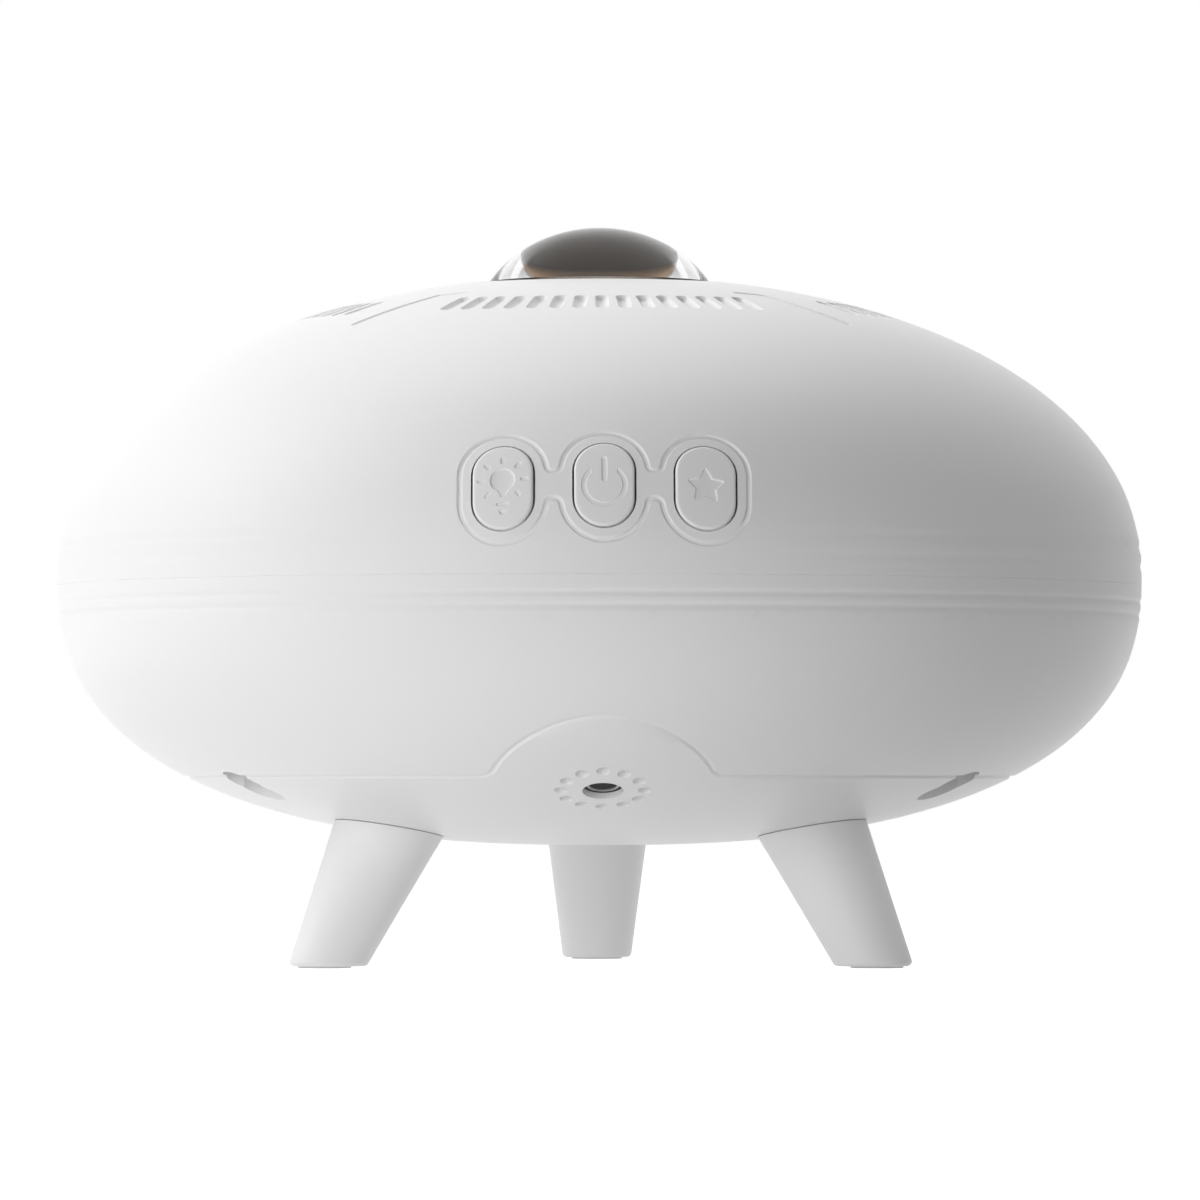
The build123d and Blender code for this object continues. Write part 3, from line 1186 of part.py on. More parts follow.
def make_collimator():
    """Four small cone lenses under one clear plate, standing on the light sources."""
    top = COLLIMATOR_Z + COLLIMATOR_HEIGHT
    lens = rod(COLLIMATOR_PLATE_RADIUS, top - COLLIMATOR_PLATE, top, SINK_OFFSET, 0)
    for x, y in led_spots():
        height = COLLIMATOR_HEIGHT - COLLIMATOR_PLATE / 2
        lens += Pos(x, y, COLLIMATOR_Z + height / 2) * Cone(LED_SIDE / 2, COLLIMATOR_RADIUS, height)
    return lens


def make_laser():
    top = LASER_Z + LASER_LENGTH
    laser = rod(LASER_RADIUS, LASER_Z, top, -LASER_OFFSET, 0)
    return laser - rod(LASER_RADIUS / 2, top - LASER_MOUTH_DEPTH, top + 1, -LASER_OFFSET, 0)


def make_laser_collar():
    top = CHASSIS_TOP_Z + LASER_COLLAR_HEIGHT
    collar = tube(LASER_COLLAR_RADIUS, LASER_RADIUS, CHASSIS_TOP_Z, top, -LASER_OFFSET, 0)
    return collar - rod(LED_BOARD_RADIUS + LASER_COLLAR_GAP, CHASSIS_Z, top + 1, SINK_OFFSET, 0)


def make_grating():
    low = LASER_Z + LASER_LENGTH
    return rod(LASER_RADIUS, low, low + GRATING_THICKNESS, -LASER_OFFSET, 0)


# ---------------------------------------------------------------- main board

MAIN_TOP_Z = MAIN_BOARD_Z + BOARD_THICKNESS


def make_main_board():
    board = block(MAIN_BOARD_WIDTH, MAIN_BOARD_DEPTH, MAIN_BOARD_Z, MAIN_TOP_Z, 0, MAIN_BOARD_Y)
    board = fillet(board.edges().filter_by(Axis.Z), MAIN_BOARD_CORNER)
    for x, y in main_board_spots():
        board -= rod(SMALL_HOLE, MAIN_BOARD_Z - 1, MAIN_TOP_Z + 1, x, y)
    return board


def make_chips():
    top = MAIN_TOP_Z + CHIP_HEIGHT
    return [block(width, depth, MAIN_TOP_Z, top, x, MAIN_BOARD_Y + y) for width, depth, x, y in CHIPS]


def make_capacitors():
    top = MAIN_TOP_Z + CAPACITOR_HEIGHT
    return [rod(CAPACITOR_RADIUS, MAIN_TOP_Z, top, x, MAIN_BOARD_Y + y) for x, y in CAPACITOR_SPOTS]


def make_plugs():
    width, depth, height = PLUG_SIZE
    top = MAIN_TOP_Z + height
    return [block(width, depth, MAIN_TOP_Z, top, x, MAIN_BOARD_Y + y) for x, y in PLUG_SPOTS.values()]


# ---------------------------------------------------------------- inner leads

def lead(name, points):
    """A round lead along straight runs joined by arcs, each as large as its runs allow."""
    spots = [Vector(p) for p in points]
    radii = []
    for before, here, after in zip(spots, spots[1:], spots[2:]):
        run_in = here - before
        run_out = after - here
        turn = radians(run_in.get_angle(run_out))
        radii.append(0.45 * min(run_in.length, run_out.length) / tan(turn / 2))
    print(name, "bend radii", [round(r, 1) for r in radii])
    path = FilletPolyline(spots, radius=radii)
    section = Plane(origin=path @ 0, z_dir=path % 0) * Circle(LEAD_RADIUS)
    return sweep(section, path)


def plug_top(name):
    x, y = PLUG_SPOTS[name]
    return x, MAIN_BOARD_Y + y, MAIN_TOP_Z + PLUG_SIZE[2]


def make_leads():
    """The leads' routes: points chosen by hand between each piece and its plug on the main board."""
    board = BUTTON_PLANE.from_local_coords(Vector(-12.0, -4.0, BOARD_BACK))
    behind = BUTTON_PLANE.from_local_coords(Vector(-12.0, -4.0, BOARD_BACK - 9.0))
    jack_y = INLET_FACE_Y - NOSE_LENGTH - JACK_BODY[1]
    hole_x, hole_y = LED_LEAD_HOLE
    ends = {name: Vector(plug_top(name)) for name in PLUG_SPOTS}
    above = {name: end + Vector(0, 0, 6) for name, end in ends.items()}
    routes = {
        "button_lead": [
            board, behind, (-13, -65, 64), (-14, -58, 52), above["buttons"] + Vector(-1, -12, 3),
            above["buttons"], ends["buttons"],
        ],
        "microphone_lead": [
            MIC_FRAME.from_local_coords(Vector(0, 0, MIC_CAPSULE_TOP)),
            MIC_FRAME.from_local_coords(Vector(0, 0, MIC_BOOT_TOP + 5)), (7, -60, 51),
            (9, -51, 50), above["microphone"] + Vector(4, -10, 3), above["microphone"], ends["microphone"],
        ],
        "light_lead": [
            (SINK_OFFSET, -12.6, LED_Z), (SINK_OFFSET, -12.6, LED_Z + 3.5), (hole_x - 2, -19, LED_Z + 6),
            (hole_x, hole_y, LED_Z + 2), (hole_x, hole_y, CHASSIS_Z - 5), above["light"], ends["light"],
        ],
        "laser_lead": [
            (-LASER_OFFSET, 0, LASER_Z), (-LASER_OFFSET, 0, LASER_Z - 6), above["laser"] + Vector(0, 0, -1),
            ends["laser"],
        ],
        "power_lead": [
            (0, jack_y, INLET_Z), (0, jack_y - 9, INLET_Z), (-5, 54, 49), (-9, 38, 46),
            above["power"] + Vector(0, 8, 2), above["power"], ends["power"],
        ],
        "motor_lead": [
            (PINION_X, PINION_Y, MOTOR_BOTTOM_Z - MOTOR_HUB_HEIGHT), (PINION_X, PINION_Y, MOTOR_BOTTOM_Z - 5),
            above["motor"] + Vector(1, 10, -1), above["motor"] + Vector(0, 0, -1), ends["motor"],
        ],
    }
    return {name: lead(name, points) for name, points in routes.items()}


# ---------------------------------------------------------------- all pieces

def make_parts():
    parts = {}
    parts["upper_case"] = make_upper_case()
    parts["lower_case"] = make_lower_case()
    seat = whole_body(-LEG_SEAT_GAP)
    for name, azimuth in LEG_AZIMUTHS.items():
        parts["leg_" + name] = make_leg(azimuth, seat)
    pads = []
    for azimuth in LEG_AZIMUTHS.values():
        x, y = around(LEG_FOOT_CIRCLE, azimuth)
        pads.append(rod(PAD_RADIUS, 0, PAD_THICKNESS, x, y))
    parts["foot_pads"] = pads
    parts["leg_screws"] = [make_leg_screw(azimuth) for azimuth in LEG_AZIMUTHS.values()]
    case_screw = screw(SCREW_RADIUS, SCREW_HEAD_RADIUS, SCREW_HEAD_HEIGHT, CASE_SCREW_LENGTH)
    parts["case_screws"] = [Pos(x, y, WELL_TOP_Z) * case_screw for x, y in case_screw_spots()]

    parts["projection_lens"] = make_lens()
    parts["lens_gasket"] = tube(LENS_FLANGE_RADIUS, GASKET_INNER_RADIUS, SHELF_Z, FLANGE_BOTTOM_Z)
    parts["optics_barrel"] = make_barrel()
    small_screw = screw(SMALL_SCREW_RADIUS, SMALL_HEAD_RADIUS, SMALL_HEAD_HEIGHT, SMALL_SCREW_LENGTH)
    flange_low = SHELF_BOTTOM_Z - BARREL_FLANGE_THICKNESS
    short_screw = screw(SMALL_SCREW_RADIUS, SMALL_HEAD_RADIUS, SMALL_HEAD_HEIGHT, BARREL_SCREW_LENGTH)
    parts["barrel_screws"] = [Pos(x, y, flange_low) * short_screw for x, y in barrel_screw_spots()]
    parts["ripple_plate"] = make_ripple_plate()

    face_body = whole_body(-BUTTON_PROUD)
    icons = {"light": icon_bulb(), "power": icon_power(), "star": icon_star()}
    for name, icon in icons.items():
        parts["button_" + name] = make_button(name, icon, face_body)
        parts["plunger_" + name] = make_plunger(name)
    parts["tact_switches"] = make_switches()
    parts["button_board"] = make_button_board()
    parts["button_board_screws"] = make_button_screws()

    parts["microphone"] = make_mic_capsule()
    parts["microphone_boot"] = make_mic_boot()
    parts["dc_jack"] = make_jack()
    parts["jack_pin"] = make_jack_pin()
    parts["jack_nut"] = make_jack_nut()

    parts["chassis_plate"] = make_chassis()
    downwards = Rot(X=180) * small_screw
    parts["chassis_screws"] = [Pos(x, y, CHASSIS_TOP_Z) * downwards for x, y in chassis_spots()]
    parts["heat_sink"] = make_sink()
    parts["heat_sink_screws"] = [Pos(x, y, CHASSIS_TOP_Z) * downwards for x, y in sink_screw_spots()]
    parts["led_board"] = rod(LED_BOARD_RADIUS, LED_BOARD_Z, LED_Z, SINK_OFFSET, 0)
    parts["led_emitters"] = make_leds()
    parts["collimator"] = make_collimator()
    parts["laser_module"] = make_laser()
    parts["laser_collar"] = make_laser_collar()
    parts["star_grating"] = make_grating()

    parts["effect_wheel"] = make_effect_wheel()
    parts["wheel_axle"] = rod(AXLE_RADIUS, CHASSIS_Z, CLIP_Z + CLIP_THICKNESS + AXLE_TIP, WHEEL_OFFSET, 0)
    for name, low, thickness in (("washer", WASHER_Z, WASHER_THICKNESS), ("clip", CLIP_Z, CLIP_THICKNESS)):
        parts["wheel_" + name] = tube(WASHER_RADIUS, AXLE_RADIUS, low, low + thickness, WHEEL_OFFSET, 0)
    parts["drive_pinion"] = make_pinion()
    parts["motor_shaft"] = make_motor_shaft()
    parts["gearbox"] = make_gearbox()
    parts["motor"] = make_motor()
    parts["motor_clamp"] = make_motor_clamp()
    parts["clamp_screws"] = [Pos(x, y, CHASSIS_TOP_Z + CLAMP_FOOT) * downwards for x, y in clamp_spots()]

    parts["main_board"] = make_main_board()
    parts["main_board_screws"] = [Pos(x, y, MAIN_TOP_Z) * downwards for x, y in main_board_spots()]
    parts["chips"] = make_chips()
    parts["capacitors"] = make_capacitors()
    parts["board_plugs"] = make_plugs()
    parts.update(make_leads())
    return parts


def as_solids(shape):
    if isinstance(shape, list):
        return [solid for piece in shape for solid in piece.solids()]
    return list(shape.solids())


def main():
    os.makedirs("parts", exist_ok=True)
    for name, shape in make_parts().items():
        solids = as_solids(shape)
        whole = solids[0] if len(solids) == 1 else Compound(children=solids)
        whole.label = name
        export_step(whole, f"parts/{name}.step")


main()
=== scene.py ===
"""Star night light projector: a flattened round case on three splayed legs, with a clear dome lens on top.

Laid out as an add-on: each piece or group of like pieces has its own operator, and a panel lists them. The
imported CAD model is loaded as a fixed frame, its pieces get their finishes, and the pieces that need a finer
surface are modelled again in the same place.
"""

import json
import math

import bpy
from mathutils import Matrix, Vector


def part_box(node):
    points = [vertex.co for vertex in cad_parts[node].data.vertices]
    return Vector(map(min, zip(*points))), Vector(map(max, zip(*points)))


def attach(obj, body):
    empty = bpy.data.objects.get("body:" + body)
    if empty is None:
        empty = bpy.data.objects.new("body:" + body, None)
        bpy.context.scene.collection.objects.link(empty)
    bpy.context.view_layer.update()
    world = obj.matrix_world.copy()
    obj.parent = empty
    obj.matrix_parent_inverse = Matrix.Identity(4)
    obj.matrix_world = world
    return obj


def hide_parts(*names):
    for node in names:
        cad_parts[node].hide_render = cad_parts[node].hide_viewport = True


bl_info = {
    "name": "Star Night Light Projector",
    "version": (1, 0, 0),
    "blender": (4, 5, 0),
    "location": "3D View > Sidebar > Night Light",
    "description": "Dresses the projector's pieces in their real finishes and sets up the studio",
    "category": "Object",
}

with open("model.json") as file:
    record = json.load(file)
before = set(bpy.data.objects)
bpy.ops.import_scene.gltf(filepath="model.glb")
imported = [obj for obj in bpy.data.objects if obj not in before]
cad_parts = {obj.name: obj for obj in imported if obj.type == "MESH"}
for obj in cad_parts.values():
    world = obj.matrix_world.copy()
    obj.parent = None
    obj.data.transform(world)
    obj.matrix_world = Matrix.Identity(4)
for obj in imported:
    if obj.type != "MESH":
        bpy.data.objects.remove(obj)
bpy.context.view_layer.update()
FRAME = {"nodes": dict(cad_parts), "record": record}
MM = 0.001
MERGE_DISTANCE = 0.0005 * MM
SMOOTH_ANGLE = math.radians(28)
ROUGHNESS_DRIFT = 0.08


def linear(code):
    """The linear colour that shader sockets take, from an sRGB hex value."""
    shares = [int(code[i:i + 2], 16) / 255 for i in (1, 3, 5)]
    return [s / 12.92 if s <= 0.04045 else ((s + 0.055) / 1.055) ** 2.4 for s in shares]


# ---------------------------------------------------------------- what a user may change

def colour_setting(name, description, code):
    return bpy.props.FloatVectorProperty(
        name=name, description=description, subtype="COLOR", size=3, min=0.0, max=1.0, default=linear(code),
    )


class NightLightColours(bpy.types.PropertyGroup):
    """Colours of the pieces that show."""

    case: colour_setting("Case", "White ABS of both case halves", "#F4F4F4")
    legs: colour_setting("Legs", "White ABS of the legs", "#F4F4F4")
    buttons: colour_setting("Buttons", "White ABS of the button caps", "#F4F4F4")
    gasket: colour_setting("Gasket", "Foam ring under the lens", "#7A5A30")
    barrel: colour_setting("Barrel", "Inside of the optics barrel", "#4E3A20")
    foil: colour_setting("Foil", "Bronze band around the barrel's mouth", "#F2B040")
    solder_mask: colour_setting("Solder mask", "Lacquer of the circuit boards", "#1B5A38")


class NightLightSizes(bpy.types.PropertyGroup):
    """Sizes that belong to the looks alone. Pieces take theirs from the frame or name them in the operator."""

    grain: bpy.props.FloatProperty(
        name="Mould grain", description="Spacing of the fine texture on the white plastic",
        unit="LENGTH", default=0.35 * MM, min=0.05 * MM, max=2 * MM,
    )
    lens_steps: bpy.props.IntProperty(
        name="Lens steps", description="Segments around the lens", default=160, min=32, max=256,
    )
    camera_distance: bpy.props.FloatProperty(
        name="Camera distance", description="From the lens axis to the camera", unit="LENGTH", default=1.6,
    )
    camera_height: bpy.props.FloatProperty(
        name="Camera height", description="Above the floor", unit="LENGTH", default=32.75 * MM,
    )
    camera_turn: bpy.props.FloatProperty(
        name="Camera turn", description="Around the lens axis, towards -X", subtype="ANGLE",
        default=math.radians(0.5),
    )


def colours():
    return bpy.context.scene.night_light_colours


def sizes():
    return bpy.context.scene.night_light_sizes


# ---------------------------------------------------------------- shader nodes

def add(tree, kind, inputs=None, **options):
    """One shader node; an input is a plain value or the output socket that feeds it."""
    made = tree.nodes.new(kind)
    for name, value in options.items():
        setattr(made, name, value)
    for name, value in (inputs or {}).items():
        if isinstance(value, bpy.types.NodeSocket):
            tree.links.new(value, made.inputs[name])
        else:
            made.inputs[name].default_value = value
    return made


def new_material(name):
    """An empty node material with its output, as (material, tree, output node)."""
    material = bpy.data.materials.new(name)
    material.use_nodes = True
    material.node_tree.nodes.clear()
    return material, material.node_tree, add(material.node_tree, "ShaderNodeOutputMaterial")


def rgba(colour):
    return (*colour[:3], 1.0)


WHITE = rgba((1.0, 1.0, 1.0))


def shade(colour, share):
    """The same hue, darker or lighter by a share."""
    return [min(channel * share, 1.0) for channel in colour[:3]]


def finish(
    name, colour, roughness, grain, depth, mottle, mottle_size=12 * MM, stretch=(1, 1, 1), **principled,
):
    """A solid material. Its colour drifts by the share mottle over mottle_size, and its surface has a grain
    with a size and a depth. A stretch below 1 draws the grain out along that axis."""
    material, tree, output = new_material(name)
    where = add(tree, "ShaderNodeTexCoord").outputs["Object"]
    drift = add(
        tree, "ShaderNodeTexNoise", {"Vector": where, "Scale": 1 / mottle_size, "Detail": 3.0},
    ).outputs["Fac"]
    darker = rgba(shade(colour, 1 - mottle))
    lighter = rgba(shade(colour, 1 + mottle))
    tint = add(tree, "ShaderNodeMix", {"Factor": drift, "A": darker, "B": lighter}, data_type="RGBA")
    surface = add(tree, "ShaderNodeBsdfPrincipled", {"Base Color": tint.outputs["Result"], **principled})
    least = roughness * (1 - ROUGHNESS_DRIFT)
    most = roughness * (1 + ROUGHNESS_DRIFT)
    rub = add(tree, "ShaderNodeMapRange", {"Value": drift, "To Min": least, "To Max": most})
    tree.links.new(rub.outputs["Result"], surface.inputs["Roughness"])
    drawn = add(tree, "ShaderNodeMapping", {"Vector": where, "Scale": stretch}).outputs["Vector"]
    pits = add(tree, "ShaderNodeTexNoise", {"Vector": drawn, "Scale": 1 / grain, "Detail": 2.0})
    emboss(tree, surface, pits.outputs["Fac"], depth)
    tree.links.new(surface.outputs["BSDF"], output.inputs["Surface"])
    return material


def emboss(tree, surface, height, depth):
    """Raise a surface by a pattern of heights, 0 to 1 over a depth."""
    bump = add(tree, "ShaderNodeBump", {"Height": height, "Strength": 1.0, "Distance": depth})
    tree.links.new(bump.outputs["Normal"], surface.inputs["Normal"])


def blend_base(tree, surface, share, colour):
    """Mix a second colour over a surface's own, as far as a share says."""
    own = surface.inputs["Base Color"].links[0].from_socket
    tint = add(tree, "ShaderNodeMix", {"Factor": share, "A": own, "B": rgba(colour)}, data_type="RGBA")
    tree.links.new(tint.outputs["Result"], surface.inputs["Base Color"])


def surface_of(material):
    """A material's tree and its surface node."""
    for node in material.node_tree.nodes:
        if node.bl_idname == "ShaderNodeBsdfPrincipled":
            return material.node_tree, node
    raise ValueError(f"{material.name} has no surface node")


def beyond(tree, axis, level, soft=0.02 * MM):
    """1 where the object coordinate on an axis is above a level, and 0 below it."""
    place = add(tree, "ShaderNodeSeparateXYZ", {0: add(tree, "ShaderNodeTexCoord").outputs["Object"]})
    step = add(
        tree, "ShaderNodeMapRange",
        {"Value": place.outputs[axis], "From Min": level - soft, "From Max": level + soft},
    )
    return step.outputs["Result"]


# ---------------------------------------------------------------- materials: the white plastic and the lens

def satin_moulded_abs(name, colour):
    """ABS from a spark-eroded mould: opaque and satin, with a faint grain that breaks up highlights."""
    return finish(
        name, colour, roughness=0.42, grain=sizes().grain, depth=0.006 * MM, mottle=0.006,
        mottle_size=40 * MM, IOR=1.53,
    )


def clear_acrylic(name, roughness):
    """Acrylic, clear to the edge: sharp highlights where it is polished, softer where it is as moulded."""
    material, tree, output = new_material(name)
    surface = add(
        tree, "ShaderNodeBsdfPrincipled",
        {"Base Color": WHITE, "Roughness": roughness, "IOR": 1.49, "Transmission Weight": 1.0},
    )
    tree.links.new(surface.outputs["BSDF"], output.inputs["Surface"])
    return material


def moulded_acrylic(name):
    """Acrylic straight from the mould: clear, with the slow waves of flow and shrinkage."""
    wave_length = 6 * MM
    material = clear_acrylic(name, roughness=0.03)
    tree, surface = surface_of(material)
    where = add(tree, "ShaderNodeTexCoord").outputs["Object"]
    flow = add(tree, "ShaderNodeTexNoise", {"Vector": where, "Scale": 1 / wave_length, "Detail": 1.0})
    emboss(tree, surface, flow.outputs["Fac"], depth=0.03 * MM)
    return material


def embossed_film():
    """Clear film with pressed lines. They are drawn far coarser than real ones, so that they show."""
    line_pitch = 0.2 * MM
    material = clear_acrylic("embossed_polyester_film", roughness=0.08)
    tree, surface = surface_of(material)
    where = add(tree, "ShaderNodeTexCoord").outputs["Object"]
    scale = math.pi / (10 * line_pitch)  # at scale 1, a wave texture repeats every pi / 10
    lines = add(tree, "ShaderNodeTexWave", {"Vector": where, "Scale": scale}, bands_direction="X")
    emboss(tree, surface, lines.outputs["Fac"], depth=0.01 * MM)
    return material


def closed_cell_foam():
    """Brown adhesive foam: matt, with cells about half a millimetre across."""
    return finish(
        "closed_cell_foam", colours().gasket, roughness=0.8, grain=0.5 * MM, depth=0.05 * MM, mottle=0.15,
        mottle_size=2 * MM,
    )


def matt_brown_abs(name):
    """Dark brown ABS with a coarse matt grain, so that it throws little light back."""
    return finish(name, colours().barrel, roughness=0.6, grain=0.6 * MM, depth=0.02 * MM, mottle=0.1)


def foiled_barrel_abs(edge):
    """The barrel's dark ABS with a band of bronze foil around its mouth, which the lens shows as a ring."""
    plastic_roughness = 0.6
    foil_roughness = 0.35
    material = matt_brown_abs("matt_brown_abs_with_bronze_foil")
    tree, surface = surface_of(material)
    foil = beyond(tree, "Z", edge, soft=0.5 * MM)
    blend_base(tree, surface, foil, colours().foil)
    worn = add(
        tree, "ShaderNodeMapRange", {"Value": foil, "To Min": plastic_roughness, "To Max": foil_roughness},
    )
    tree.links.new(worn.outputs["Result"], surface.inputs["Roughness"])
    return material


# ---------------------------------------------------------------- materials: rubber, plastics and leads

def frosted_silicone():
    """Moulded silicone, milky and soft: light goes some way in, and the surface has a fine frosting."""
    return finish(
        "frosted_silicone_rubber", linear("#D9DBD9"), roughness=0.5, grain=0.3 * MM, depth=0.01 * MM,
        mottle=0.05, IOR=1.41, **{"Transmission Weight": 0.25},
    )


def black_silicone():
    """Black silicone: satin, with the faint dust-like grain of a rubber mould."""
    return finish(
        "black_silicone_rubber", linear("#1C1C1D"), roughness=0.55, grain=0.3 * MM, depth=0.012 * MM,
        mottle=0.2, mottle_size=3 * MM, IOR=1.41,
    )


def grey_moulded_abs(name):
    """Recycled grey ABS of the inner brackets: flatter than the outside, with flow marks of a centimetre."""
    return finish(
        name, linear("#6E7173"), roughness=0.5, grain=0.45 * MM, depth=0.012 * MM, mottle=0.06,
        mottle_size=10 * MM, IOR=1.53,
    )


def moulded_polymer(name, code, roughness):
    """Small moulded pieces of acetal, nylon or PBT: waxy, with a grain of about a quarter of a millimetre."""
    return finish(
        name, linear(code), roughness=roughness, grain=0.25 * MM, depth=0.005 * MM, mottle=0.05,
        mottle_size=4 * MM, IOR=1.5,
    )


def moulded_epoxy():
    """Filled epoxy of a chip: dull charcoal with the fine pits of its mould, 0.12 mm across."""
    return finish(
        "moulded_black_epoxy", linear("#232426"), roughness=0.62, grain=0.12 * MM, depth=0.008 * MM,
        mottle=0.12, mottle_size=2 * MM,
    )


def pvc_lead(name, code):
    """PVC of a flexible lead: glossy, with the shallow waves that extrusion leaves every millimetre or so."""
    return finish(
        name, linear(code), roughness=0.34, grain=1.2 * MM, depth=0.02 * MM, mottle=0.05, mottle_size=15 * MM,
        IOR=1.53,
    )


def phosphor_gel():
    """Silicone gel filled with phosphor: a flat lemon yellow with a soft shine and grains 0.1 mm across."""
    return finish(
        "yellow_phosphor_gel", linear("#E3C13A"), roughness=0.3, grain=0.1 * MM, depth=0.005 * MM, mottle=0.1,
        mottle_size=1 * MM, IOR=1.43,
    )


def sleeved_can(top):
    """Capacitor cans in shrunk PET sleeve: dark blue and glossy, with a bare rolled aluminium lid on top."""
    lid_depth = 0.15 * MM
    material = finish(
        "shrunk_pet_sleeve_on_aluminium", linear("#20304E"), roughness=0.28, grain=0.8 * MM, depth=0.008 * MM,
        mottle=0.08, mottle_size=6 * MM,
    )
    tree, surface = surface_of(material)
    lid = beyond(tree, "Z", top - lid_depth)
    blend_base(tree, surface, lid, linear("#C6C9CC"))
    tree.links.new(lid, surface.inputs["Metallic"])
    return material


# ---------------------------------------------------------------- materials: metal

def zinc_plated_steel():
    """Steel with bright zinc: bluish grey with cloudy passivation and short turning marks around Z."""
    return finish(
        "zinc_plated_steel", linear("#C3C7CC"), roughness=0.32, grain=0.3 * MM, depth=0.004 * MM, mottle=0.08,
        mottle_size=2.5 * MM, stretch=(0.4, 0.4, 1.0), Metallic=1.0,
    )


def stamped_steel():
    """Cold rolled sheet, punched and folded: grey, with rolling lines along X about 0.2 mm apart."""
    return finish(
        "stamped_tinned_steel", linear("#B9BABB"), roughness=0.36, grain=0.2 * MM, depth=0.004 * MM,
        mottle=0.06, mottle_size=4 * MM, stretch=(0.1, 1.0, 1.0), Metallic=1.0,
    )


def rolled_steel_can():
    """Deep drawn steel with a nickel flash: draw lines along Z and a soft streaked shine."""
    return finish(
        "drawn_nickelled_steel", linear("#BDBDB8"), roughness=0.3, grain=0.4 * MM, depth=0.006 * MM,
        mottle=0.07, mottle_size=6 * MM, stretch=(1.0, 1.0, 0.08), Metallic=1.0,
    )


def bright_nickel():
    """Nickel on brass: warm grey and nearly a mirror, with polishing lines too fine to see apart."""
    return finish(
        "bright_nickel_plate", linear("#CBC6BA"), roughness=0.18, grain=0.15 * MM, depth=0.002 * MM,
        mottle=0.04, mottle_size=3 * MM, stretch=(1.0, 0.2, 1.0), Metallic=1.0,
    )


def worked_brass(name, stretch):
    """Brass with the marks of its making, turned or punched, and the brown cloudiness of handling."""
    return finish(
        name, linear("#C9A457"), roughness=0.3, grain=0.3 * MM, depth=0.006 * MM, mottle=0.12,
        mottle_size=5 * MM, stretch=stretch, Metallic=1.0,
    )


def extruded_aluminium():
    """Bare extruded aluminium: pale grey, with die lines that run up the fins."""
    return finish(
        "extruded_aluminium", linear("#C9CACB"), roughness=0.38, grain=0.35 * MM, depth=0.012 * MM,
        mottle=0.05, mottle_size=9 * MM, stretch=(1.0, 1.0, 0.06), Metallic=1.0,
    )


def felted_can(mouth, radius):
    """A drawn aluminium can, with the matt black felt disc that fills its mouth: fibres of about 0.1 mm."""
    metal_roughness = 0.34
    felt_roughness = 0.95
    soft = 0.05 * MM
    material = finish(
        "drawn_aluminium_with_felt", linear("#C4C5C6"), roughness=metal_roughness, grain=0.12 * MM,
        depth=0.01 * MM, mottle=0.06, mottle_size=3 * MM,
    )
    tree, surface = surface_of(material)
    where = add(tree, "ShaderNodeTexCoord").outputs["Object"]
    reach = add(tree, "ShaderNodeVectorMath", {0: where, 1: mouth}, operation="DISTANCE")
    felt = add(
        tree, "ShaderNodeMapRange",
        {
            "Value": reach.outputs["Value"], "From Min": radius - soft, "From Max": radius + soft,
            "To Min": 1.0, "To Max": 0.0,
        },
    ).outputs["Result"]
    blend_base(tree, surface, felt, linear("#33302E"))
    metal = add(tree, "ShaderNodeMath", {0: 1.0, 1: felt}, operation="SUBTRACT")
    tree.links.new(metal.outputs[0], surface.inputs["Metallic"])
    fuzz = add(
        tree, "ShaderNodeMapRange", {"Value": felt, "To Min": metal_roughness, "To Max": felt_roughness},
    )
    tree.links.new(fuzz.outputs["Result"], surface.inputs["Roughness"])
    return material


# ---------------------------------------------------------------- materials: circuit boards

def solder_mask_on_laminate():
    """Green lacquer over copper on woven glass laminate: the tracks stand out as paler stripes."""
    track_pitch = 1.27 * MM
    track_paleness = 1.6
    material = finish(
        "green_solder_mask_on_laminate", colours().solder_mask, roughness=0.3, grain=0.6 * MM,
        depth=0.004 * MM, mottle=0.08, mottle_size=8 * MM,
    )
    tree, surface = surface_of(material)
    where = add(tree, "ShaderNodeTexCoord").outputs["Object"]
    tracks = add(
        tree, "ShaderNodeTexBrick",
        {
            "Vector": where, "Scale": 1 / track_pitch, "Mortar Size": 0.18, "Mortar Smooth": 0.1,
            "Brick Width": 9.0, "Row Height": 1.0,
        },
    )
    blend_base(tree, surface, tracks.outputs["Fac"], shade(colours().solder_mask, track_paleness))
    return material


def solder_mask_on_aluminium():
    """White lacquer on an aluminium board: glossy and slightly cream, with a light orange peel."""
    return finish(
        "white_solder_mask_on_aluminium", linear("#E9E7DF"), roughness=0.24, grain=0.9 * MM, depth=0.01 * MM,
        mottle=0.02,
    )


# ---------------------------------------------------------------- pieces

def node_object(node):
    return FRAME["nodes"][node]


def body_name(node):
    for body, members in FRAME["record"]["behaviour"]["bodies"].items():
        if node in members:
            return body
    raise ValueError(f"{node} is in no body")


def dress(nodes, material):
    """Give CAD pieces one material in all of their slots."""
    for node in nodes:
        mesh = node_object(node).data
        if not mesh.materials:
            mesh.materials.append(material)
        for i in range(len(mesh.materials)):
            mesh.materials[i] = material


def select_only(piece):
    bpy.ops.object.select_all(action="DESELECT")
    piece.select_set(True)
    bpy.context.view_layer.objects.active = piece


def settle(piece, name, node, material):
    """Name a finished piece, give it its material, and let it stand for a CAD node on the node's body."""
    piece.name = name
    piece.data.name = name
    piece.data.materials.clear()
    piece.data.materials.append(material)
    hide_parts(node)
    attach(piece, body_name(node))
    return piece


